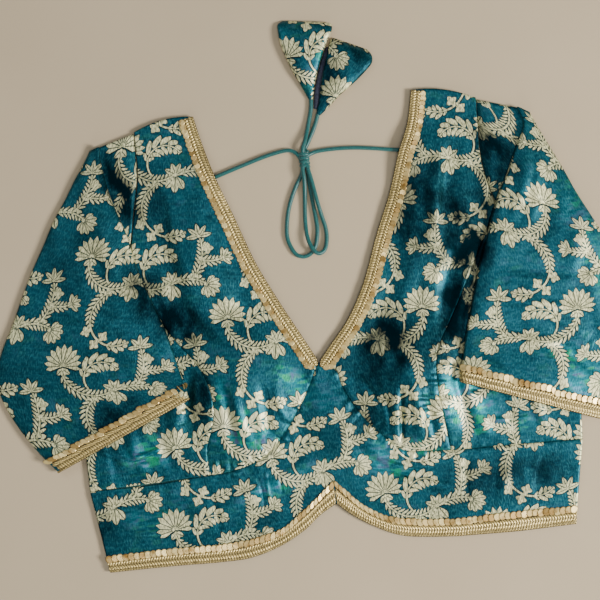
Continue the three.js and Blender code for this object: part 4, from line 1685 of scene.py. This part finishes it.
@dataclass(frozen=True)
class Dori:
    """One tie cord: from the neck through the knot, round its loop and out to its pouch."""

    name: str
    nodes: tuple[str, ...]
    places: tuple[Place, ...]
    far: tuple[str, ...]
    diameter: float = 3.6

    def build(self, finishes: dict[str, bpy.types.Material]) -> bpy.types.Object:
        """Args: finishes: the materials. Returns: the cord."""
        seam = Seam(*self.places)
        count = round(seam.length / 1.5)
        data = bpy.data.curves.new(self.name, "CURVE")
        data.dimensions = "3D"
        data.bevel_depth = self.diameter / 2 * MM
        data.bevel_resolution = 3
        data.use_fill_caps = True
        line = data.splines.new("POLY")
        line.points.add(count)
        for i, point in enumerate(line.points):
            point.co = (*(seam.at(i / count) * MM), 1.0)
        line.use_smooth = True
        data.materials.append(finishes["satin"])
        piece = bpy.data.objects.new(self.name, data)
        bpy.context.scene.collection.objects.link(piece)
        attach(piece, "root")
        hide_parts(*self.nodes)
        [c * MM for c in self.places[0]]
        list(self.far)
        log.info("laid %s: %.0f mm", self.name, seam.length)
        return piece


LEFT_DORI = Dori(
    "left_dori",
    ("dori_span_left", "dori_loop_left", "dori_tail_left"),
    (
        (-77.2, 131.6, FLAT), (-69, 134.1, FLAT), (-45.1, 141.4, FLAT), (-20.5, 148.2, FLAT),
        (-5, 150.3, FLAT), (-0.6, 148.9, 2.4), (4, 144, 3.4), (6, 134.6, FLAT), (4, 128, FLAT),
        (-1.5, 119, FLAT), (-8.5, 103.4, FLAT), (-12.1, 89.2, FLAT), (-13.1, 76.5, FLAT),
        (-10.2, 66.8, FLAT), (-6.5, 61.3, FLAT), (-0.8, 59.2, FLAT), (5.4, 61.3, FLAT),
        (9.9, 67.3, FLAT), (12.3, 75.9, FLAT), (13, 83, FLAT), (11.3, 107.3, FLAT),
        (10.2, 122, FLAT), (10, 134.6, FLAT), (8, 142, 4.4), (7.6, 149.6, OVER), (9.8, 155.6, 5),
        (13.2, 166, 2.6), (16.4, 176.7, FLAT), (18.4, 185, FLAT), (19, 191.6, FLAT),
    ),
    ("left_latkan_pouch",),
)
RIGHT_DORI = Dori(
    "right_dori",
    ("dori_span_right", "dori_loop_right", "dori_tail_right"),
    (
        (98.2, 139.4, FLAT), (86.9, 141.2, FLAT), (51.2, 146.7, FLAT), (27.3, 147.5, FLAT),
        (17, 146.4, 2.2), (10, 143, 4.4), (6, 134.6, OVER), (6.2, 124, 5.4), (5.4, 112, 2.6),
        (4.1, 97.8, FLAT), (3.4, 86, 2.5), (3.9, 74.9, 4.6), (6.8, 65.9, 5.9), (11.4, 60.6, 5.3),
        (16.8, 62.6, 3.2), (19.8, 70.1, 2), (20.2, 80.3, FLAT), (17.8, 92, 3.6), (15.5, 103, 5.7),
        (12.6, 121, OVER), (10, 134.6, OVER), (9, 143, 4.6), (9.6, 149.8, FLAT), (12.6, 155, FLAT),
        (17.2, 163.2, FLAT), (20.8, 170.6, FLAT), (23.6, 178.4, FLAT),
    ),
    ("right_latkan_pouch", "right_latkan_lining"),
)


@dataclass(frozen=True)
class Knot:
    """The wraps that hold the two cords together."""

    x: float = 8.0
    low: float = 134.4
    pitch: float = 3.3
    turns: int = 4
    half: float = 4.9
    height: float = 3.9

    def build(self, finishes: dict[str, bpy.types.Material]) -> bpy.types.Object:
        """Args: finishes: the materials. Returns: the piece."""
        rings = []
        total = self.turns * 20
        for i in range(total + 1):
            t = i / total
            angle = t * self.turns * 2 * math.pi
            middle = Vector((
                self.x + self.half * 0.62 * math.cos(angle),
                self.low + self.pitch * self.turns * t + 0.5 * math.sin(angle),
                self.height + 0.1 + self.height * 0.48 * math.sin(angle),
            ))
            out = Vector((math.cos(angle), 0, math.sin(angle)))
            rings.append([
                middle + out * 1.75 * math.cos(k / 10 * 2 * math.pi)
                + Vector((0, 1, 0)) * 1.75 * math.sin(k / 10 * 2 * math.pi)
                for k in range(10)
            ])
        return finish_piece("knot_wraps", loft(rings), [finishes["satin"]], Slot.CORD, ["dori_knot"])


@dataclass(frozen=True)
class Latkan:
    """A folded cloth pouch at the end of a cord."""

    name: str
    node: str
    rows: tuple[tuple[Place, Place, float], ...]
    layout: Layout
    finish: str = "brocade"
    # how much of the brocade's painted shade (below 0) and painted sheen (above 0) the pouch gets
    painted_light: float = 0.1
    sides: int = 28
    steps: int = 6

    def build(self, finishes: dict[str, bpy.types.Material]) -> bpy.types.Object:
        """Args: finishes: the materials. Returns: the piece."""
        knots = [[Vector((*a, 0)), Vector((*b, 0)), Vector((h, 0, 0))] for a, b, h in self.rows]
        counts = [self.steps] * (len(knots) - 1)
        froms, tos, heights = (smooth_line([k[i] for k in knots], counts) for i in range(3))
        rings = []
        for a, b, h in zip(froms, tos, heights):
            ring = []
            for i in range(self.sides):
                angle = i / self.sides * 2 * math.pi
                across = math.cos(angle)
                flat = math.copysign(abs(math.sin(angle)) ** 0.8, math.sin(angle))
                p = b.lerp(a, 0.5 + 0.5 * across)
                p.z = 0.15 + max(h.x, 1.6) / 2 * (1 + flat)
                p.z += 0.5 * noise.noise((p.x * 0.12, p.y * 0.12, 3.0)) * max(flat, 0)
                ring.append(p)
            rings.append(ring)
        mesh = loft(rings)
        weave = mesh.loops.layers.uv.new("weave")
        painted_light = mesh.verts.layers.float.new("painted_light")
        for vert in mesh.verts:
            x, y = vert.co.x / MM, vert.co.y / MM
            # painted shade and sheen, a little uneven over the pouch
            vert[painted_light] = self.painted_light + 0.4 * noise.noise((x * 0.05, y * 0.05, 1.0))
            for loop in vert.link_loops:
                loop[weave].uv = self.layout.place(x, y)
        piece = finish_piece(self.name, mesh, [finishes[self.finish]], Slot.BROCADE, [self.node])
        return piece


LATKANS = (
    Latkan(
        "left_latkan_pouch",
        "latkan_left",
        (
            ((17.2, 191.2), (20.8, 191.2), 3.6), ((12.6, 201.8), (23.2, 202.2), 6),
            ((6.5, 214.6), (27.5, 215.4), 8), ((2.2, 226), (32.1, 226.6), 9),
            ((-1.6, 238.7), (37.6, 238.7), 9), ((-2.9, 250), (43, 248.6), 8),
            ((-2.4, 257.4), (42.6, 253.4), 5), ((2, 260.2), (37, 255.4), 2),
        ),
        Layout(10, 6, 24),
    ),
    Latkan(
        "right_latkan_pouch",
        "latkan_right",
        (
            ((22, 178.4), (25.4, 177), 3.6), ((25.2, 188), (31.5, 181.6), 5),
            ((28, 200), (44, 192.2), 7), ((31.5, 213), (57, 201.4), 8),
            ((35, 223.5), (67.7, 210.2), 8.5), ((38.4, 233), (73.6, 216.6), 8),
            ((40.8, 239.6), (74.4, 222.4), 5.5), ((43.4, 241.4), (71.4, 228.4), 2),
        ),
        Layout(-40, 50, 30),
        painted_light=-0.35,
    ),
    Latkan(
        "right_latkan_lining",
        "latkan_right",
        (
            ((20.6, 183.5), (23.4, 182.5), 2.6), ((22.2, 196), (28.5, 194.5), 3.4),
            ((26.2, 210), (32.5, 208), 3.8), ((30.6, 222), (36.5, 220), 3.8),
            ((34.6, 231), (38.8, 230), 3.2), ((36.4, 234.4), (38.6, 234), 1.8),
        ),
        Layout(0, 0, 0),
        "dark_lining",
    ),
)


# ---- studio -----------------------------------------------------------------------------


@dataclass(frozen=True)
class Studio:
    """Camera, table and lights."""

    over: Place = (-0.008, 0.023)
    height: float = 1.3
    framed: float = 0.510
    roll: float = -6.0

    def camera(self) -> bpy.types.Object:
        """Returns: the camera, straight above the blouse."""
        data = bpy.data.cameras.new("camera")
        data.sensor_width = 36.0
        data.lens = 36.0 * self.height / self.framed
        camera = bpy.data.objects.new("camera", data)
        camera.location = (*self.over, self.height)
        camera.rotation_euler = (0.0, 0.0, math.radians(self.roll))
        bpy.context.scene.collection.objects.link(camera)
        bpy.context.scene.camera = camera
        return camera

    def light(self, name: str, place: Place, watts: float, size: float, colour: Place) -> None:
        """Args: name: the light's. place: in metres. watts: its power. size: in metres. colour: linear."""
        data = bpy.data.lights.new(name, "AREA")
        data.energy = watts
        data.size = size
        data.color = colour
        lamp = bpy.data.objects.new(name, data)
        lamp.location = place
        lamp.rotation_euler = (-Vector(place)).to_track_quat("-Z", "Y").to_euler()
        bpy.context.scene.collection.objects.link(lamp)

    def build(self, finishes: dict[str, bpy.types.Material]) -> None:
        """Args: finishes: the materials."""
        mesh = bmesh.new()
        bmesh.ops.create_grid(mesh, x_segments=1, y_segments=1, size=2.5)
        data = bpy.data.meshes.new("table")
        mesh.to_mesh(data)
        mesh.free()
        data.materials.append(finishes["table"])
        table = bpy.data.objects.new("table", data)
        bpy.context.scene.collection.objects.link(table)
        self.light("key", (1.6, -0.6, 1.25), 66.0, 0.6, (1.0, 0.97, 0.92))
        self.light("fill", (-1.2, 1.0, 1.8), 9.0, 1.4, (0.9, 0.96, 1.0))
        self.light("low", (-0.3, -1.8, 0.9), 9.0, 0.9, (1.0, 0.98, 0.95))
        self.light("top", (0.35, -0.2, 1.9), 6.0, 0.5, (1.0, 1.0, 1.0))
        world = bpy.data.worlds.new("room")
        bpy.context.scene.world = world
        world.use_nodes = True
        world.node_tree.nodes["Background"].inputs["Color"].default_value = (0.8, 0.82, 0.85, 1.0)
        world.node_tree.nodes["Background"].inputs["Strength"].default_value = 0.26


# ---- the whole blouse ---------------------------------------------------------------------


class Choli:
    """The blouse, built piece by piece."""

    CUFF_WIDE = 13.5
    NECK_WIDE = 12.0
    PAST_POINT = 5.0
    PAST_STEPS = 6
    POINT_IN = 2.5
    STEPS = 140
    CLEAR = 0.75
    SMALL_SEQUINS = (2.6, 3.9)
    LARGE_SEQUINS = (3.1, 4.6)

    def __init__(self) -> None:
        """Makes the finishes and the lie of the cloth."""
        self.finishes = {"brocade": Brocade().make()}
        for plain in (LINING, BRAID, SEQUIN, SATIN, DARK_LINING, TABLE):
            self.finishes[plain.name] = plain.make()
        self.lie = Lie(PULLS)

    def _on_front(self, p: Vector) -> Vector:
        """Args: p: a place. Returns: it on the front, clear of the middle of the cloth."""
        return Vector((p.x, p.y, self.lie.front(p.x, p.y) + self.CLEAR))

    def _along(self, seam: Seam) -> list[Vector]:
        """Args: seam: an edge of the cloth. Returns: places along it on the front."""
        return [self._on_front(seam.at(i / self.STEPS)) for i in range(self.STEPS + 1)]

    def neck_lace(self, half: Half, side: float, name: str, node: str) -> None:
        """Args: half: the seams. side: 1 left, -1 right. name, node: the piece's."""
        outer, inner = [], []
        for i in range(self.STEPS + 1):
            t = i / self.STEPS
            along = half.neck.direction(t)
            p = half.neck.at(t)
            outer.append(self._on_front(p))
            inner.append(self._on_front(p + Vector((along.y, -along.x, 0)) * self.NECK_WIDE * side))
        end, way = half.neck.at(1.0), half.neck.direction(1.0)
        across = Vector((way.y, -way.x, 0)) * side
        for i in range(1, self.PAST_STEPS + 1):
            share = i / self.PAST_STEPS
            low = end + way * self.PAST_POINT * share + across * self.POINT_IN * share
            high = end + way * self.PAST_POINT * 0.8 * share + across * self.NECK_WIDE * (1 - 0.4 * share)
            outer.append(self._on_front(low))
            inner.append(self._on_front(high))
        Lace(name, node, outer, inner, *self.SMALL_SEQUINS).build(self.finishes)

    def hem_lace(self, half: Half, name: str, node: str) -> None:
        """Args: half: the seams. name, node: the piece's."""
        low = Seam.joined(half.hem_straight, half.hem_scallop)
        high = Seam.joined(half.lace_straight, half.lace_scallop)
        lace = Lace(name, node, self._along(low), self._along(high), *self.LARGE_SEQUINS)
        lace.build(self.finishes)

    def cuff_lace(self, sleeve: Sleeve, name: str, node: str) -> None:
        """Args: sleeve: the sleeve. name, node: the piece's."""
        rows = sleeve.surface()
        edges: tuple[list[Vector], list[Vector]] = ([], [])
        for c in range(len(rows[0])):
            climb, index = 0.0, len(rows) - 1
            while climb < self.CUFF_WIDE and index > 4:
                index -= 1
                climb += (rows[index + 1][c] - rows[index][c]).length
            for edge, at in zip(edges, (len(rows) - 1, index)):
                before, after = rows[at][max(c - 1, 0)], rows[at][min(c + 1, len(rows[at]) - 1)]
                out = (after - before).cross(rows[at][c] - rows[at - 4][c]).normalized() * sleeve.side
                edge.append(rows[at][c] + out * self.CLEAR)
        Lace(name, node, *edges, *self.LARGE_SEQUINS, turned=-sleeve.side).build(self.finishes)

    def build(self) -> None:
        """Builds every piece."""
        for latkan in LATKANS:
            latkan.build(self.finishes)
        for dori in (LEFT_DORI, RIGHT_DORI):
            dori.build(self.finishes)
        Knot().build(self.finishes)
        for panel in PANELS:
            panel.build(self.lie, self.finishes)
        for sleeve in (LEFT_SLEEVE, RIGHT_SLEEVE):
            sleeve.build(self.finishes)
        self.neck_lace(LEFT, 1.0, "left_neck_lace", "neck_trim_left")
        self.neck_lace(RIGHT, -1.0, "right_neck_lace", "neck_trim_right")
        self.hem_lace(LEFT, "left_hem_lace", "hem_trim_left")
        self.hem_lace(RIGHT, "right_hem_lace", "hem_trim_right")
        self.cuff_lace(LEFT_SLEEVE, "left_cuff_lace", "cuff_trim_left")
        self.cuff_lace(RIGHT_SLEEVE, "right_cuff_lace", "cuff_trim_right")


def main() -> None:
    """Builds the studio and the blouse."""
    logging.basicConfig(level=logging.INFO, format="%(name)s: %(message)s")
    studio = Studio()
    studio.camera()
    choli = Choli()
    choli.build()
    studio.build(choli.finishes)


if __name__ == "__main__":
    main()
